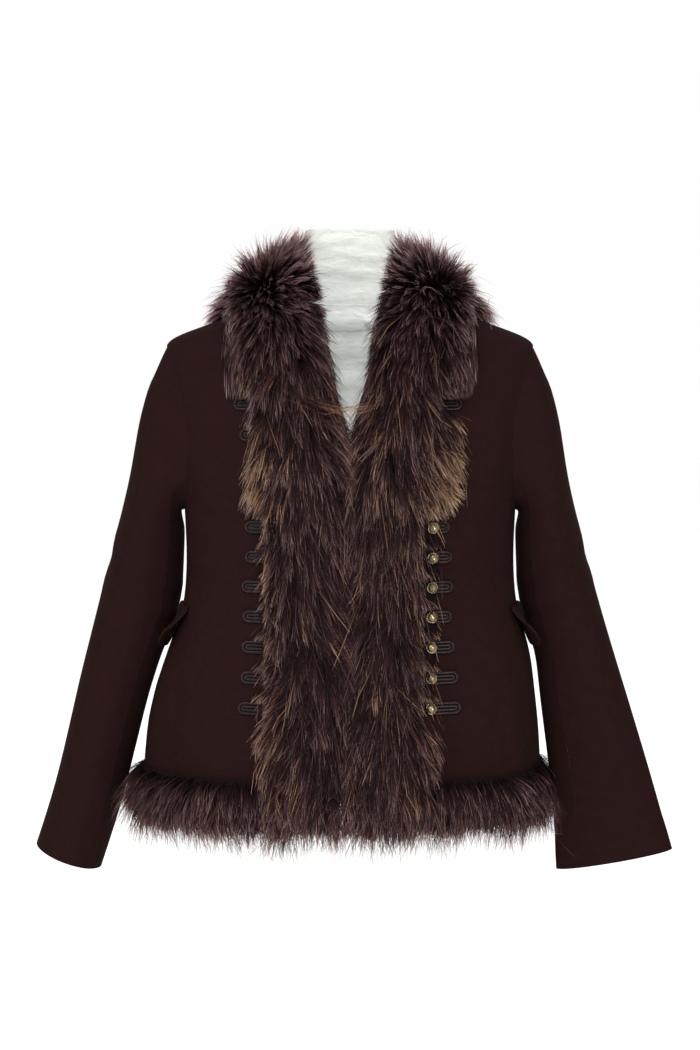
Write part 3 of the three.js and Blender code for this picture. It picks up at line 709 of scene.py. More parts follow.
def button_pattern():
    """One button standing on the ground at the origin, joined into a single mesh."""
    bpy.ops.object.select_all(action="DESELECT")
    bpy.ops.mesh.primitive_uv_sphere_add(segments=32, ring_count=16, radius=DOME_RADIUS * MM)
    dome = bpy.context.object
    dome.data.materials.append(TARNISHED)
    bpy.ops.object.mode_set(mode="EDIT")
    bpy.ops.mesh.select_all(action="SELECT")
    bpy.ops.mesh.bisect(plane_co=(0, 0, 0), plane_no=(0, 0, 1), clear_inner=True, use_fill=True)
    bpy.ops.mesh.select_all(action="SELECT")
    bpy.ops.transform.resize(value=(1, 1, DOME_SQUASH))
    bpy.ops.transform.translate(value=(0, 0, 1 * MM))
    bpy.ops.object.mode_set(mode="OBJECT")
    made = [dome]
    bpy.ops.object.select_all(action="DESELECT")
    bpy.ops.mesh.primitive_torus_add(major_segments=48, minor_segments=8, location=(0, 0, 0.9 * MM),
                                     major_radius=RIM_RADIUS * MM, minor_radius=0.75 * MM)
    rim = bpy.context.object
    rim.data.materials.append(RUBBED)
    for corner in rim.data.vertices:  # ropes the ring
        spin = math.atan2(corner.co.y, corner.co.x)
        round_ring = math.atan2(corner.co.z, corner.co.xy.length - RIM_RADIUS * MM)
        swell = 1 + 0.16 * math.sin(16 * spin + 2 * round_ring)
        centre = corner.co.copy()
        centre.z = 0
        centre = centre.normalized() * RIM_RADIUS * MM
        corner.co = centre + (corner.co - centre) * swell
    made.append(rim)
    made.append(add_bead(on_dome(0, 0, 0.1), 1.25, RUBBED, detail=2, stretch=(1, 1, 0.8)))
    for k in range(PETALS):
        turn = 2 * math.pi * k / PETALS
        made.append(add_bead(on_dome(42, turn), 1.45, RUBBED, stretch=(1, 0.5, 0.42),
                             rotation=(0, math.radians(34), turn)))
        made.append(add_bead(on_dome(21, turn + 0.4), 0.42, RUBBED, detail=0))
    for k in range(RIM_BEADS):
        turn = 2 * math.pi * (k + 0.5) / RIM_BEADS
        made.append(add_bead(on_dome(70, turn), 0.5, RUBBED, detail=0))
    bpy.ops.object.select_all(action="DESELECT")
    for part in made:
        part.select_set(True)
    bpy.context.view_layer.objects.active = dome
    bpy.ops.object.join()
    bpy.ops.object.transform_apply(location=True, rotation=True, scale=True)
    bpy.ops.object.shade_smooth_by_angle(angle=math.radians(50))
    return dome


# %% A button for each row that shows one
BUTTON_ROWS = range(5, ROWS + 1)
BUTTON_INSET = 8  # from where the cords begin
CORD_THICKNESS = 5  # of the loops under a button, with the slack of its thread

pattern = button_pattern()
buttons = {}
for row in BUTTON_ROWS:
    z = ROW_FIRST_Z - (row - 1) * ROW_PITCH
    x = np.interp(z, STRIP_Z, STRIP_X) - UNDER_FUR + BUTTON_INSET
    foot, normal = on_front("left", x, z)
    mesh = pattern.data.copy()
    lie = Vector(normal).to_track_quat("Z", "Y").to_matrix().to_4x4()
    spun = Matrix.Rotation(row * 0.7, 4, "Z")
    mesh.transform(Matrix.Translation((foot + normal * CORD_THICKNESS) * MM) @ lie @ spun)
    button = bpy.data.objects.new(f"dome_button_{row}", mesh)
    scene.collection.objects.link(button)
    buttons[f"button_{row}"] = button
bpy.data.objects.remove(pattern)
print(len(buttons), "buttons of", len(mesh.polygons), "faces")

# %% [markdown]
# ## Pocket flaps
# Each hip has a short welted flap with a piped edge. It is a small shell like the panels; a thin
# cord of the same wool, wrapped on the bias, runs down both its ends and along its foot.


# %% Flaps and their piping
def border(piece, facing):
    """The closed border of the faces that look one way, as ordered points in millimetres."""
    edges = {}
    for face in piece.data.polygons:
        if facing(face.center / MM, face.normal):
            for key in face.edge_keys:
                edges[key] = edges.get(key, 0) + 1
    follow = {}
    for a, b in (key for key, uses in edges.items() if uses == 1):
        follow.setdefault(a, []).append(b)
        follow.setdefault(b, []).append(a)
    start = next(iter(follow))
    order, last = [start], None
    while len(order) <= len(follow):
        step = [v for v in follow[order[-1]] if v != last]
        last = order[-1]
        if step[0] == start:
            break
        order.append(step[0])
    return points_of(piece)[order]


PIPING_RADIUS = 1.5
flaps = {}
for hand, side in HANDS.items():
    node = "pocket_flap_" + hand
    flap = shell_of(node, "wool_" + node, 2, 0.9)
    flap.data.materials.append(WOOL)
    edge = border(flap, lambda c, n: n.x * side > 0.3 or n.y < -0.75)
    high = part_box(node)[1]
    edge = np.roll(edge, -int(np.argmax(edge[:, 2])), axis=0)
    keep = edge[edge[:, 2] < high.z / MM - 3]
    outward = unit(keep - torso_axis(keep))
    parts = [tube(keep, outward, PIPING_RADIUS, sides=8)]
    piping = piece_of("piping_" + hand, parts, WOOL)
    flaps[node] = (flap, piping)
    print(flap.name, len(edge), "border points,", len(keep), "piped")

# %% [markdown]
# ## Fur
# The trim is long-haired fur: a dense dark undercoat, and over it long hair that hangs together in
# pointed locks. Particle hair can't be exported and a bumpy skin has no edge of hairs, so every
# hair is a real, narrow, tapering ribbon. A lock is drawn first; the hairs rooted near it start on
# their own course and are gathered to its tip. Each piece of fur is one mesh, made from arrays.
#
# The colour is painted along the hair through a UV map. Its U picks one of seven dyes and its V
# runs from root to tip, so the finish is a pure function of the map.

# %% Fur finishes
# The near-black roots of every dye are partly the hair's own colour and partly painted shade deep in
# the pile.
DYES = {  # root, middle, upper and tip of a hair
    "dark": ("#070303", "#110808", "#1e1112", "#352422"),
    # The smoke dye's pale upper and tip are painted highlight: the hair's shine drawn as grey streaks.
    "smoke_highlight": ("#0a0505", "#1a0f10", "#43302e", "#957d78"),
    "tan": ("#0c0605", "#38261d", "#806349", "#c2a88c"),
    "russet": ("#0c0605", "#2c1711", "#553124", "#8f6653"),
    "plum": ("#0a0505", "#241517", "#483133", "#957a79"),
    # The pale dye's near-white tips are partly the hair's own pale tips and partly painted light
    # shining through the thin ends.
    "pale": ("#0a0505", "#2a1a17", "#8f7167", "#ecd8cc"),
    "mauve": ("#120909", "#442d2f", "#775c5f", "#bba3a2"),
}
STOPS = (0.05, 0.4, 0.75, 1)


def fur_hair():
    """Dyed long hair: dark at the root, partly as painted shade deep in the pile, and paler to the
    tip, with a soft gloss along it and its shine painted in as pale streaks.
    """
    material, tree, shader = new_material(
        "dyed long-haired fur", Roughness=0.5, Specular_IOR_Level=0.03)
    uv = add_node(tree, "ShaderNodeUVMap", uv_map="OFBake")
    split = add_node(tree, "ShaderNodeSeparateXYZ", {"Vector": uv.outputs["UV"]})
    colour = None
    for k, dye in enumerate(DYES.values()):
        ramp = add_node(tree, "ShaderNodeValToRGB", {"Fac": split.outputs["Y"]})
        for stop, hex_colour in zip(STOPS, dye):
            if stop in (STOPS[0], STOPS[-1]):
                mark = ramp.color_ramp.elements[0 if stop == STOPS[0] else -1]
            else:
                mark = ramp.color_ramp.elements.new(stop)
            mark.position = stop
            mark.color = linear(hex_colour)
        if colour is None:
            colour = ramp.outputs["Color"]
            continue
        past = add_node(tree, "ShaderNodeMath", {0: split.outputs["X"]}, operation="GREATER_THAN")
        past.inputs[1].default_value = k / len(DYES)
        pick = add_node(tree, "ShaderNodeMix",
                        {"Factor": past.outputs[0], 6: colour, 7: ramp.outputs["Color"]},
                        data_type="RGBA")
        colour = pick.outputs[2]
    tree.links.new(colour, shader.inputs["Base Color"])
    return material


def undercoat():
    """The short, dense wool under the long hair: nearly black, and all nap."""
    material, tree, shader = new_material("dense fur undercoat", Roughness=1, Specular_IOR_Level=0.05)
    place = add_node(tree, "ShaderNodeTexCoord")
    nap = add_node(tree, "ShaderNodeTexNoise", {"Vector": place.outputs["Object"]},
                   Scale=500, Detail=3)  # tufts of two millimetres
    tone = add_node(tree, "ShaderNodeMix", {"Factor": nap.outputs["Fac"]}, data_type="RGBA")
    tone.inputs[6].default_value = linear("#080505")
    tone.inputs[7].default_value = linear("#140d0d")
    tree.links.new(tone.outputs[2], shader.inputs["Base Color"])
    bump = add_node(tree, "ShaderNodeBump", {"Height": nap.outputs["Fac"]}, Strength=1)
    bump.inputs["Distance"].default_value = 1.5 * MM
    tree.links.new(bump.outputs["Normal"], shader.inputs["Normal"])
    return material


FUR = fur_hair()
UNDERCOAT = undercoat()
print("dyes:", list(DYES))

# %% [markdown]
# ## The skin that the hair stands on
# The frame's fur solids have the outer form of the hair. The undercoat is the same form drawn in
# by nearly half its height, and the hair grows from it back out to that form.


# %% Undercoats
SKIN_DEPTH = 0.42  # how much of the pile's height the long hair stands over the undercoat
SKIN_MOST = 28
BURST = np.array([92.0, -20.0, -6.0])  # the hidden centre of the collar's fur on the wearer's left
BURST_PULL = 0.24  # how far the shoulders of the undercoat are drawn in to that centre


def burst_at(p):
    """The hidden centre of the fur on the same side as each place."""
    ones = np.ones(len(p))
    return BURST * np.column_stack([np.sign(p[:, 0]), ones, ones])


def undercoat_of(node):
    """The frame's fur solid drawn in towards the cloth under it."""
    skin = shell_of(node, "undercoat_" + node, 1, 0)
    skin.data.materials.append(UNDERCOAT)
    p = points_of(skin)
    normal = values_of(skin.data.vertices, "normal", 3)
    cloth = nearest_cloth(p)
    height = np.linalg.norm(p - cloth, axis=1)
    outer = smoothstep(-0.2, 0.4, (normal * unit(p - cloth)).sum(1))
    inset = np.minimum(height * SKIN_DEPTH, SKIN_MOST) * outer * smoothstep(1.5, 6, height)
    p = p - unit(p - cloth) * inset[:, None]
    wide = smoothstep(100, 135, np.abs(p[:, 0])) * smoothstep(-60, -20, p[:, 2])
    set_points(skin, p + (burst_at(p) - p) * (BURST_PULL * wide)[:, None])
    return skin


def roots_on(skin, count, rng):
    """Random places all over a skin's outer side, with their normals, in millimetres."""
    mesh = skin.data
    mesh.calc_loop_triangles()
    triangles = values_of(mesh.loop_triangles, "vertices", 3, int)
    p = points_of(skin)
    normal = values_of(mesh.vertices, "normal", 3)
    a, b, c = (p[triangles[:, k]] for k in range(3))
    cross = np.cross(b - a, c - a)
    centre = (a + b + c) / 3
    away = unit(centre - nearest_cloth(centre))
    to_neck = (unit(cross) * -unit(centre * [1, 1, 0])).sum(1)
    lined = (to_neck > 0.15) & (centre[:, 1] > -25) & (centre[:, 2] > -60)
    hairy = ((unit(cross) * away).sum(1) > -0.15) & ~lined
    weight = np.linalg.norm(cross, axis=1) * hairy
    pick = rng.choice(len(triangles), count, p=weight / weight.sum())
    u, v = rng.random((2, count))
    over = u + v > 1
    u[over], v[over] = 1 - u[over], 1 - v[over]
    mix = [1 - u - v, u, v]
    place = sum(m[:, None] * p[triangles[pick, k]] for k, m in enumerate(mix))
    facing = unit(sum(m[:, None] * normal[triangles[pick, k]] for k, m in enumerate(mix)))
    return place, facing


# %% [markdown]
# ## Which way the hair lies
# The nap runs downwards and fans out from the middle of each strip, further out at the edges, and
# turns in over the open neck. On the collar it bursts from a hidden centre on each side, and round
# the back it falls outwards from the neck. The hem's hair hangs straight. Slow random drifts keep
# neighbouring locks from agreeing too well.


# %% Courses of the nap
DOWN = np.array([0.0, 0.0, -1.0])


def drift(p, size, seed):
    """A smooth random field, about -1 to 1, that changes over about that size."""
    rng = np.random.default_rng(seed)
    total = np.zeros(len(p))
    for _ in range(5):
        way = unit(rng.normal(size=3))
        total += np.sin(p @ way * 2 * np.pi / (size * rng.uniform(0.8, 1.6)) + rng.uniform(0, 6.3))
    return total / 2.2


def bump_at(z, middle, spread):
    return np.exp(-((z - middle) / spread) ** 2)


def lying(normal, angle, side):
    """Unit vectors in the surface, turned from straight down outwards by an angle in degrees."""
    level = unit(np.cross(-DOWN, normal))  # to the right, seen from outside
    fall = unit(np.cross(normal, level)) * -1
    fall = np.where(fall[:, 2:] > 0, -fall, fall)
    a = np.radians(angle)[:, None]
    return fall * np.cos(a) + level * side[:, None] * np.sin(a)


def swing(course, normal, degrees):
    """Turns each course about its normal."""
    a = np.radians(degrees)[:, None]
    return unit(course * np.cos(a) + np.cross(normal, course) * np.sin(a))


NECK_Z = [-190, -167, -123, -67, -20, 0]  # heights, and where the fur's inner edge is there
NECK_X = [0, 0.5, 15, 25, 40, 71.5]
NECK_RING = (72, 58, 8)  # half width, half depth and height of the collar's seam


def across_strip(p):
    inner = np.interp(p[:, 2], NECK_Z, NECK_X)
    outer = np.interp(p[:, 2], STRIP_Z, STRIP_X)
    return np.clip((np.abs(p[:, 0]) - inner) / (outer - inner), 0, 1)


def strip_course(p, normal):
    side = np.sign(p[:, 0])
    u, z = across_strip(p), p[:, 2]
    left = side > 0
    neck = smoothstep(-235, -150, z)
    foot = smoothstep(-430, -520, z)
    swept = bump_at(z, -192, 42)
    at_inner = -20 - 26 * neck + 10 * foot
    at_outer = 42 + np.where(left, 26, -10) * swept - 30 * foot
    turn_at = np.where(left, 0.36, 0.52)
    angle = np.where(u < turn_at, at_inner * np.maximum(1 - u / turn_at, 0) ** 0.8,
                     at_outer * (np.maximum(u - turn_at, 0) / (1 - turn_at)) ** 0.8)
    angle = angle + 15 * drift(p, 70, 3) + 12 * drift(p, 26, 4)
    flat = lying(normal, angle, side)
    burst = swing(unit(p - burst_at(p)), normal, 20 * drift(p, 45, 5))
    high = smoothstep(-115, -35, z)[:, None]
    return unit(flat * (1 - high) + burst * high)


def collar_course(p, normal):
    turn = np.arctan2(p[:, 0], -p[:, 1])
    ring = np.column_stack([NECK_RING[0] * np.sin(turn), -NECK_RING[1] * np.cos(turn),
                            np.full(len(p), NECK_RING[2])])
    behind = smoothstep(-5, 50, p[:, 1])[:, None]
    away = unit(p - burst_at(p) * (1 - behind) - ring * behind)
    top = smoothstep(22, 48, p[:, 2:])
    fallen = unit(away + DOWN * behind * (1.1 - 2.3 * top))
    return swing(fallen, normal, 18 * drift(p, 50, 6))


def hem_course(p, normal):
    side = np.where(p[:, 0] >= 0, 1.0, -1.0)
    closing = 34 * np.exp(-(p[:, 0] / 18) ** 2) * (p[:, 1] < 0)  # over the front edges
    angle = 7 * drift(p, 90, 11) + 8 * drift(p, 26, 12) - closing
    spread = 0.5 * smoothstep(-165, -225, p[:, :1]) + 0.2 * smoothstep(180, 215, p[:, :1])
    return unit(lying(normal, angle, side) + normal * spread)


# %% [markdown]
# ## Keeping the hair in its place
# Hair at the edge of a strip would hang far out over the wool and hide the frogging. So each piece
# of fur has a rule that holds it in: a hair that would pass the trim's edge is turned down, one
# that would cross a cord or button that shows is cut short before it, and none rises over the
# lining behind the neck.

# %% Rules for each piece of fur
EDGE_Z = [-527, -441, -333, -290, -247, -215, -150, -118, -53, 16]
EDGE_X = {"left": [94, 97, 97, 98, 108, 122, 124, 118, 128, 142],
          "right": [95, 107, 107, 108, 113, 115, 113, 117, 127, 142]}
OPEN_Z = [-188, -166, -118, -64, -10, 43]  # the edge of the hair over the open neck
OPEN_X = [-5, 2.5, 16, 24, 31, 42]
CREST_X = [0, 48, 62, 116, 146, 165]  # how high the hair stands over the collar
CREST_Z = [62, 64, 72, 64, 46, 16]
FRONT_Y, BACK_Y = -186, 188  # how far forward and back the hair stands
ROWS_SHOWN = {"left": (1, 5, 6, 7, 8, 9, 10, 11), "right": (1, 2, 5, 6, 7, 8, 9, 10, 11)}
SHOWN_FROM = {"left": 78, "right": 92}
TOP_ROWS_FROM = {"left": 99, "right": 108}  # the two top rows only peep out
CLEAR = (7.6, 4)  # how far hair keeps above and below a row: at least, and how ragged that is
CLEAR_TOP = (5, 8)  # the same for the two top rows
FRAY = 1.8  # how ragged the line is where the cords come out
FALLS_ACROSS = 0.02  # share of the hairs that fall across a cord
FALLS_TO = 104  # hairs further out than this never do
KNOTS = np.array([0, 0.36, 0.7, 1])
STEPS = np.linspace(0, 1, 13)
AT_STEPS = np.array([np.interp(STEPS, KNOTS, one) for one in np.eye(len(KNOTS))]).T


def held_between(path, axis, low, high):
    """Hairs whose tips would pass these bounds on one axis, with that part of their run shrunk."""
    root = path[:, :1, axis]
    run = path[:, -1, axis] - root[:, 0]
    room = np.where(run > 0, high - root[:, 0], root[:, 0] - low)
    kept = np.clip(room / np.maximum(np.abs(run), 1e-6), 0, 1)
    path[:, :, axis] = root + (path[:, :, axis] - root) * kept[:, None]
    return np.abs(run) * (1 - kept)


def cut_short(path, stop):
    """Each hair only up to a share of its run."""
    t = KNOTS * stop[:, None]
    k = np.clip(np.searchsorted(KNOTS, t, side="right") - 1, 0, len(KNOTS) - 2)
    f = ((t - KNOTS[k]) / (KNOTS[k + 1] - KNOTS[k]))[..., None]
    hair = np.arange(len(path))[:, None]
    return path[hair, k] * (1 - f) + path[hair, k + 1] * f


def strip_rule(path, rng):
    """Holds a strip's hair between its edges and clear of the cords; says which hairs stay."""
    hand = "left" if path[0, 0, 0] > 0 else "right"
    side = HANDS[hand]
    path = path * [side, 1, 1]
    tip = path[:, -1, 2]
    outer = np.interp(tip, EDGE_Z, EDGE_X[hand]) + rng.normal(0, 4, len(path))
    wisp = rng.random(len(path)) < 0.04
    inner = np.interp(tip, OPEN_Z, OPEN_X) - 6 * rng.random(len(path)) ** 2 - 12 * wisp
    lost = held_between(path, 0, inner, outer)
    path[:, :, 2] -= 0.7 * lost[:, None] * KNOTS * smoothstep(-20, -90, path[:, :1, 2])
    crest = np.interp(path[:, -1, 0], CREST_X, CREST_Z) + rng.normal(0, 4, len(path))
    held_between(path, 2, -1000, crest)
    held_between(path, 1, FRONT_Y - 4 * rng.random(len(path)), 1000)
    spots = np.einsum("tk,nkc->ntc", AT_STEPS, path)
    over = np.zeros(spots.shape[:2], bool)
    ragged, fray = rng.normal(0, 1, (2, len(path), 1))
    near, near_top = (least + more * np.abs(ragged) for least, more in (CLEAR, CLEAR_TOP))
    for row in ROWS_SHOWN[hand]:
        gap = np.abs(spots[:, :, 2] - ROW_FIRST_Z + (row - 1) * ROW_PITCH)
        shown, clear = (TOP_ROWS_FROM, near_top) if row < 3 else (SHOWN_FROM, near)
        over |= (gap < clear) & (spots[:, :, 0] > shown[hand] + FRAY * fray)
    falls = rng.random((len(path), 1)) < FALLS_ACROSS
    over &= ~falls | (spots[:, :, 0] > FALLS_TO)
    first = np.where(over.any(1), STEPS[over.argmax(1)] - 0.04, 1)
    return cut_short(path, np.clip(first, 0.1, 1)) * [side, 1, 1], first > 0.3


def collar_rule(path, rng):
    """Keeps the collar's hair below its crest and out of the neck."""
    crest = np.interp(np.abs(path[:, -1, 0]), CREST_X, CREST_Z) + rng.normal(0, 2.4, len(path))
    crest = crest + 6 * smoothstep(40, 70, path[:, -1, 1])  # hidden behind the lining
    held_between(path, 2, -1000, crest)
    held_between(path, 1, -1000, BACK_Y + 4 * rng.random(len(path)))
    held_between(path, 0, -168 - rng.normal(0, 6, len(path)), 168 + rng.normal(0, 6, len(path)))
    level = np.hypot(path[:, :, 0], path[:, :, 1])
    return path, (level[:, -1] > level[:, 0] - 6) & (path[:, -1, 2] < crest + 6)


def hem_rule(path, rng):
    """Leaves out hair that would stand up from the hem's top edge, and holds the rest in."""
    held_between(path, 1, FRONT_Y - 4 * rng.random(len(path)), BACK_Y + 4 * rng.random(len(path)))
    return path, path[:, -1, 2] < path[:, 0, 2] - 12


# %% [markdown]
# ## Growing the hair
# A hair rises from the skin and bends over along its course, with a slow curl. Locks are drawn by
# the same rule, from far fewer roots. Four coats follow: hair gathered to the locks, a shorter
# coat that closes the gaps, long, thin guard hairs, and a few that stray.

# %% Hairs and locks
TAPER = np.array([0.9, 1, 0.66])
LOCK_STRETCH = 0.55  # locks take in hair from further up and down than from the sides


def hair_paths(root, normal, course, length, lift, droop, curl, phase):
    """The paths of hairs as an array of (hair, knot, place)."""
    level = unit(np.cross(course, normal))
    steps = [root]
    for k in range(len(KNOTS) - 1):
        t = (KNOTS[k] + KNOTS[k + 1]) / 2
        rise = (lift * (1 - t) ** 1.1)[:, None]
        wave = (curl * np.sin(phase + 4 * t))[:, None]
        way = unit(course * (1 - rise) + normal * rise + DOWN * droop * t + level * wave)
        steps.append(steps[-1] + way * (length * (KNOTS[k + 1] - KNOTS[k]))[:, None])
    return np.stack(steps, 1)


def nearest_lock(place, locks):
    """The index of the nearest lock to each place."""
    stretch = np.array([1, 1, LOCK_STRETCH])
    tree = KDTree(len(locks))
    for k, lock in enumerate((locks * stretch).tolist()):
        tree.insert(lock, k)
    tree.balance()
    return np.array([tree.find(p)[1] for p in (place * stretch).tolist()])


def ribbons(name, paths, normal, width, roll, dye):
    """One mesh of tapering ribbons, three faces to a hair, with the map that its colour reads."""
    along = unit(np.gradient(paths, axis=1))
    flat = unit(np.cross(along, normal[:, None]))
    up = unit(np.cross(flat, along))
    across = flat * np.cos(roll)[:, None, None] + up * np.sin(roll)[:, None, None]
    half = (width[:, None] * TAPER / 2)[..., None] * across[:, :-1]
    count = len(paths)
    corners = np.empty((count, 7, 3))
    corners[:, 0:6:2] = paths[:, :-1] + half
    corners[:, 1:6:2] = paths[:, :-1] - half
    corners[:, 6] = paths[:, -1]
    shape = np.array([0, 1, 3, 2, 2, 3, 5, 4, 4, 5, 6])
    corner_of = (np.arange(count)[:, None] * 7 + shape).ravel()
    mesh = bpy.data.meshes.new(name)
    mesh.vertices.add(count * 7)
    mesh.vertices.foreach_set("co", (corners * MM).ravel())
    mesh.loops.add(len(corner_of))
    mesh.loops.foreach_set("vertex_index", corner_of.astype(np.int32))
    mesh.polygons.add(count * 3)
    starts = (np.arange(count)[:, None] * 11 + np.array([0, 4, 8])).ravel()
    mesh.polygons.foreach_set("loop_start", starts.astype(np.int32))
    mesh.update(calc_edges=True)
    mesh.validate()
    u = (dye + 0.5) / len(DYES)
    map_u = u[:, None] + np.array([1, -1] * 3 + [0]) * 0.02
    map_v = np.repeat(KNOTS * 0.96 + 0.02, 2)[:7]
    uv = np.stack([map_u, np.broadcast_to(map_v, map_u.shape)], 2).reshape(-1, 2)
    layer = mesh.uv_layers.new(name="OFBake")
    layer.data.foreach_set("uv", uv[corner_of].ravel())
    layer.active_render = True
    mesh.polygons.foreach_set("use_smooth", np.ones(count * 3, bool))
    mesh.materials.append(FUR)
    piece = bpy.data.objects.new(name, mesh)
    scene.collection.objects.link(piece)
    return piece


COATS = {  # share of the hairs, length, width, how far gathered to the lock, and lift
    "lock": (0.66, 1.0, 0.78, 0.85, 0.36),
    "under": (0.24, 0.66, 1.0, 0.4, 0.45),
    "guard": (0.09, 1.35, 0.5, 0.3, 0.5),
    "stray": (0.01, 1.7, 0.7, 0, 0.45),
}
HEM_COATS = {
    "lock": (0.54, 1.0, 0.75, 0.7, 0.36),
    "under": (0.24, 0.7, 1.0, 0.4, 0.45),
    "guard": (0.21, 1.75, 0.42, 0.3, 0.32),
    "stray": (0.01, 1.7, 0.6, 0, 0.4),
}


def skin_area(skin):
    """The area of a skin in square millimetres, both sides."""
    return sum(face.area for face in skin.data.polygons) / MM ** 2


def grow(node, count, close, coats, course_of, look_of, rule, seed):
    """The long hair of one piece of fur. Close is how near a lock's hairs come at its tip; look_of
    gives each root's length and its dyes' shares."""
    rng = np.random.default_rng(seed)
    skin = undercoat_of(node)
    locks = int(skin_area(skin) / LOCK_AREA)
    lock_root, lock_normal = roots_on(skin, locks, rng)
    length, shares = look_of(lock_root)
    course = swing(course_of(lock_root, lock_normal), lock_normal, rng.normal(0, 10, locks))
    phase = rng.uniform(0, 6.3, locks)
    lock_path = hair_paths(lock_root, lock_normal, course, length * rng.uniform(0.8, 1.15, locks),
                           rng.uniform(0.2, 0.5, locks), 0.3, rng.normal(0, 0.28, locks), phase)
    lock_dye = (rng.random(locks)[:, None] > np.cumsum(shares, 1)).sum(1)
    parts = []
    for coat, (share, reach, width, gather, lift) in coats.items():
        n = int(count * share)
        root, normal = roots_on(skin, n, rng)
        length, shares = look_of(root)
        mine = nearest_lock(root, lock_root)
        turn, curl = {"guard": (18, 0.16), "stray": (30, 0.55)}.get(coat, (8, 0.16))
        course = swing(course_of(root, normal), normal, rng.normal(0, turn, n))
        path = hair_paths(root, normal, course, length * reach * rng.uniform(0.7, 1.1, n),
                          rng.normal(lift, 0.1, n), 0.3, rng.normal(0, curl, n),
                          phase[mine] + rng.normal(0, 0.5, n))
        run = (lock_path[mine] - lock_path[mine][:, :1]) * (reach * rng.uniform(0.62, 1.06, (n, 1, 1)))
        offset = (lock_path[mine][:, 0] - root)[:, None] * (close * KNOTS ** 0.9)[None, :, None]
        pull = gather * rng.uniform(0.75, 1.1, (n, 1, 1))
        path = path * (1 - pull) + (root[:, None] + run + offset) * pull
        path, stays = rule(path, rng)
        own = (rng.random(n)[:, None] > np.cumsum(shares, 1)).sum(1)
        dye = np.where(rng.random(n) < 0.33, lock_dye[mine], own)
        if coat == "under":
            dye = np.where(rng.random(n) < 0.8, 0, dye)
        part = (path, normal, rng.uniform(0.75, 1.2, n) * width, rng.normal(0, 0.6, n),
                np.minimum(dye, len(DYES) - 1))
        parts.append([column[stays] for column in part])
    hair = ribbons("hair_" + node, *(np.concatenate(column) for column in zip(*parts)))
    print(hair.name, "has", len(hair.data.polygons) // 3, "hairs in", locks, "locks")
    return skin, hair


# %% Looks of each piece of fur
def shares_of(*dyes):
    """The share of each dye, in the order of the dyes."""
    weights = np.clip(np.column_stack(np.broadcast_arrays(*dyes)), 0.001, None)
    return weights / weights.sum(1, keepdims=True)


def strip_look(p):
    u, z, left = across_strip(p), p[:, 2], p[:, 0] > 0
    edge = smoothstep(0.5, 0.95, u)
    high = smoothstep(-60, 0, z)
    crest = smoothstep(-8, 18, z) * smoothstep(42, 72, np.abs(p[:, 0]))
    crest = np.maximum(crest, 0.4 * smoothstep(100, 125, np.abs(p[:, 0])) * smoothstep(-50, -15, z))
    length = 55 - 8 * edge - 12 * high + 5 * drift(p, 40, 21)
    patch = smoothstep(0.1, 1, drift(p, 45, 22))
    swept = bump_at(z, -185, 42)
    upper = smoothstep(-170, -110, z)
    tan = 0.02 + np.where(left, 2.8, 1.3) * edge * swept
    tan = tan + 0.3 * bump_at(z, -150, 24) * smoothstep(0.5, 0, u)
    tan = tan + 0.34 * edge * smoothstep(-230, -290, z) + 0.17 * patch * smoothstep(-110, -180, z)
    russet = 0.03 + 0.3 * edge * bump_at(z, -450, 50) + 0.2 * edge * left * bump_at(z, -370, 50)
    russet = russet + 0.3 * crest * smoothstep(0, 1, drift(p, 50, 23))
    dark = (1.4 - 0.45 * edge) * (1 - 0.8 * crest)
    return length, shares_of(dark, 0.42 + 0.2 * patch - 0.12 * upper, tan, russet,
                             0.05 + 0.5 * high, 0.25 * crest, 1.5 * crest)


def collar_look(p):
    x, z = np.abs(p[:, 0]), p[:, 2]
    length = 40 + 5 * drift(p, 40, 31)
    high = smoothstep(-25, 15, z) * smoothstep(35, 60, x)
    high = np.maximum(high, smoothstep(100, 120, x) * smoothstep(-80, -40, z))
    high = high * (1 - 0.45 * smoothstep(20, 70, p[:, 1]))
    russet = 0.06 + 0.4 * high * smoothstep(0, 1, drift(p, 60, 32))
    return length, shares_of(0.9 - 0.75 * high, 0.35, 0.06 + 0.06 * high, russet, 0.3,
                             0.08 + 0.3 * high, 1.3 * high)


def hem_look(p):
    z = p[:, 2]
    low = smoothstep(-550, -588, z)
    length = 34 + 3 * low + 3 * drift(p, 50, 41)
    russet = 0.06 + 0.14 * low * smoothstep(-0.4, 1, drift(p, 70, 42))
    plum = 0.5 + 0.5 * smoothstep(-0.2, 1, drift(p, 80, 43)) + 0.5 * smoothstep(-120, -170, p[:, 0])
    return length, shares_of(1.1 - 0.6 * low, 0.24, 0.03 + 0.08 * low, russet, plum, 2 * low, 0.03)


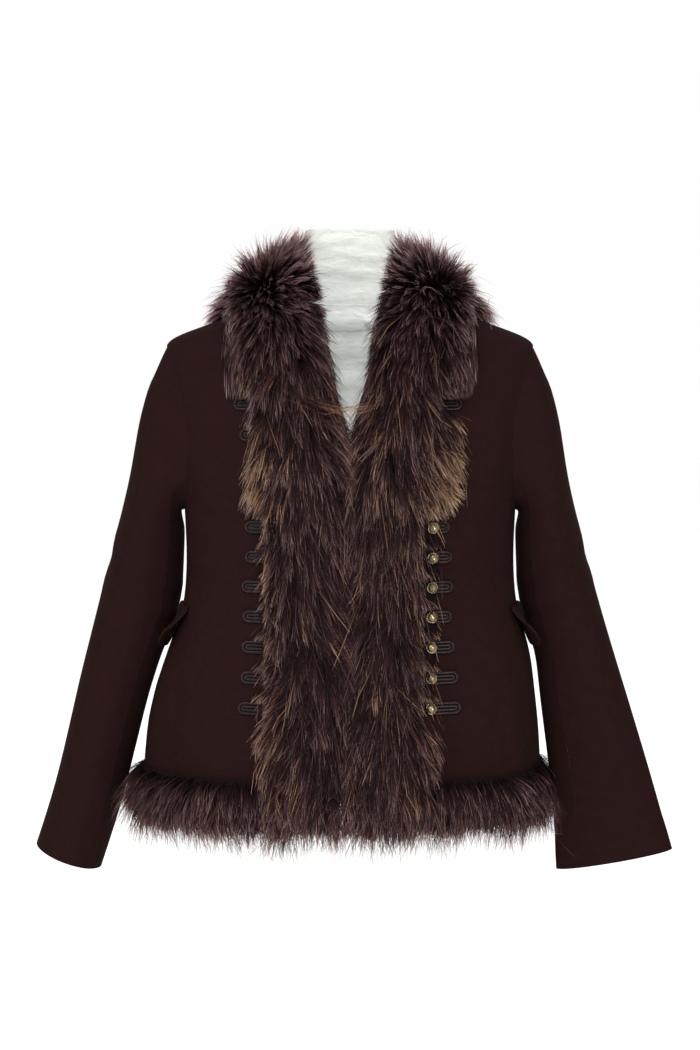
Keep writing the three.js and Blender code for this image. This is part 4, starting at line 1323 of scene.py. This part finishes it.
# %% Grow it
LOCK_AREA = 54  # square millimetres of skin to a lock
FUR_PLAN = {
    "fur_front_left": (38500, 0.72, COATS, strip_course, strip_look, strip_rule, 101),
    "fur_front_right": (38500, 0.72, COATS, strip_course, strip_look, strip_rule, 102),
    "fur_collar": (28000, 0.7, COATS, collar_course, collar_look, collar_rule, 103),
    "fur_hem": (38000, 0.5, HEM_COATS, hem_course, hem_look, hem_rule, 104),
}
furs = {node: grow(node, *plan) for node, plan in FUR_PLAN.items()}

# %% The tuft that strays across the neck
TUFT_LINE = np.array([(-82, 0, -99), (-49, -6, -117), (-11, -9, -131), (21, -5, -125)], float)
TUFT_HAIRS = 24
TUFT_Y = on_front("right", 60, -120)[0][1] - 26  # over the locks
rng = np.random.default_rng(105)
spread = rng.normal(0, 1, (TUFT_HAIRS, 1, 3)) * [7, 2, 2.2]
spread = spread + rng.normal(0, 1, (TUFT_HAIRS, 4, 3)) * 1.4
tuft_path = TUFT_LINE + [0, TUFT_Y, 0] + spread
tuft = ribbons("hair_tuft", tuft_path, np.tile([0.0, -1.0, 0.0], (TUFT_HAIRS, 1)),
               rng.uniform(0.45, 0.7, TUFT_HAIRS), rng.normal(0, 0.5, TUFT_HAIRS),
               rng.choice([2, 2, 3, 1], TUFT_HAIRS))
furs["fur_front_right"] += (tuft,)
print("tuft of", TUFT_HAIRS, "hairs")

# %% [markdown]
# ## Handing over
# Every piece rides on the one body and stands for the frame's node of the same place,
# which is hidden.

# %% Ride and replace
for node, piece in {**panels, **linings}.items():
    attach(piece, "root")
    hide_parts(node)
for node, piece in {**loops, **buttons}.items():
    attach(piece, "root")
    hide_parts(node)
for node, pair in flaps.items():
    for piece in pair:
        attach(piece, "root")
        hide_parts(node)

for node, pair in furs.items():
    for piece in pair:
        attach(piece, "root")
        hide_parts(node)

# %% [markdown]
# ## Counting the triangles
# Each panel is a sheet: cut flat, sewn to its neighbours and filled out. Every piece that renders
# is counted with its triangles.

# %% Triangles in all
made = [piece for piece in scene.objects if piece.type == "MESH" and not piece.hide_render]
faces = {piece.name: sum(len(p.vertices) - 2 for p in piece.data.polygons) for piece in made}
print("triangles in all:", sum(faces.values()), "most in", max(faces, key=faces.get))
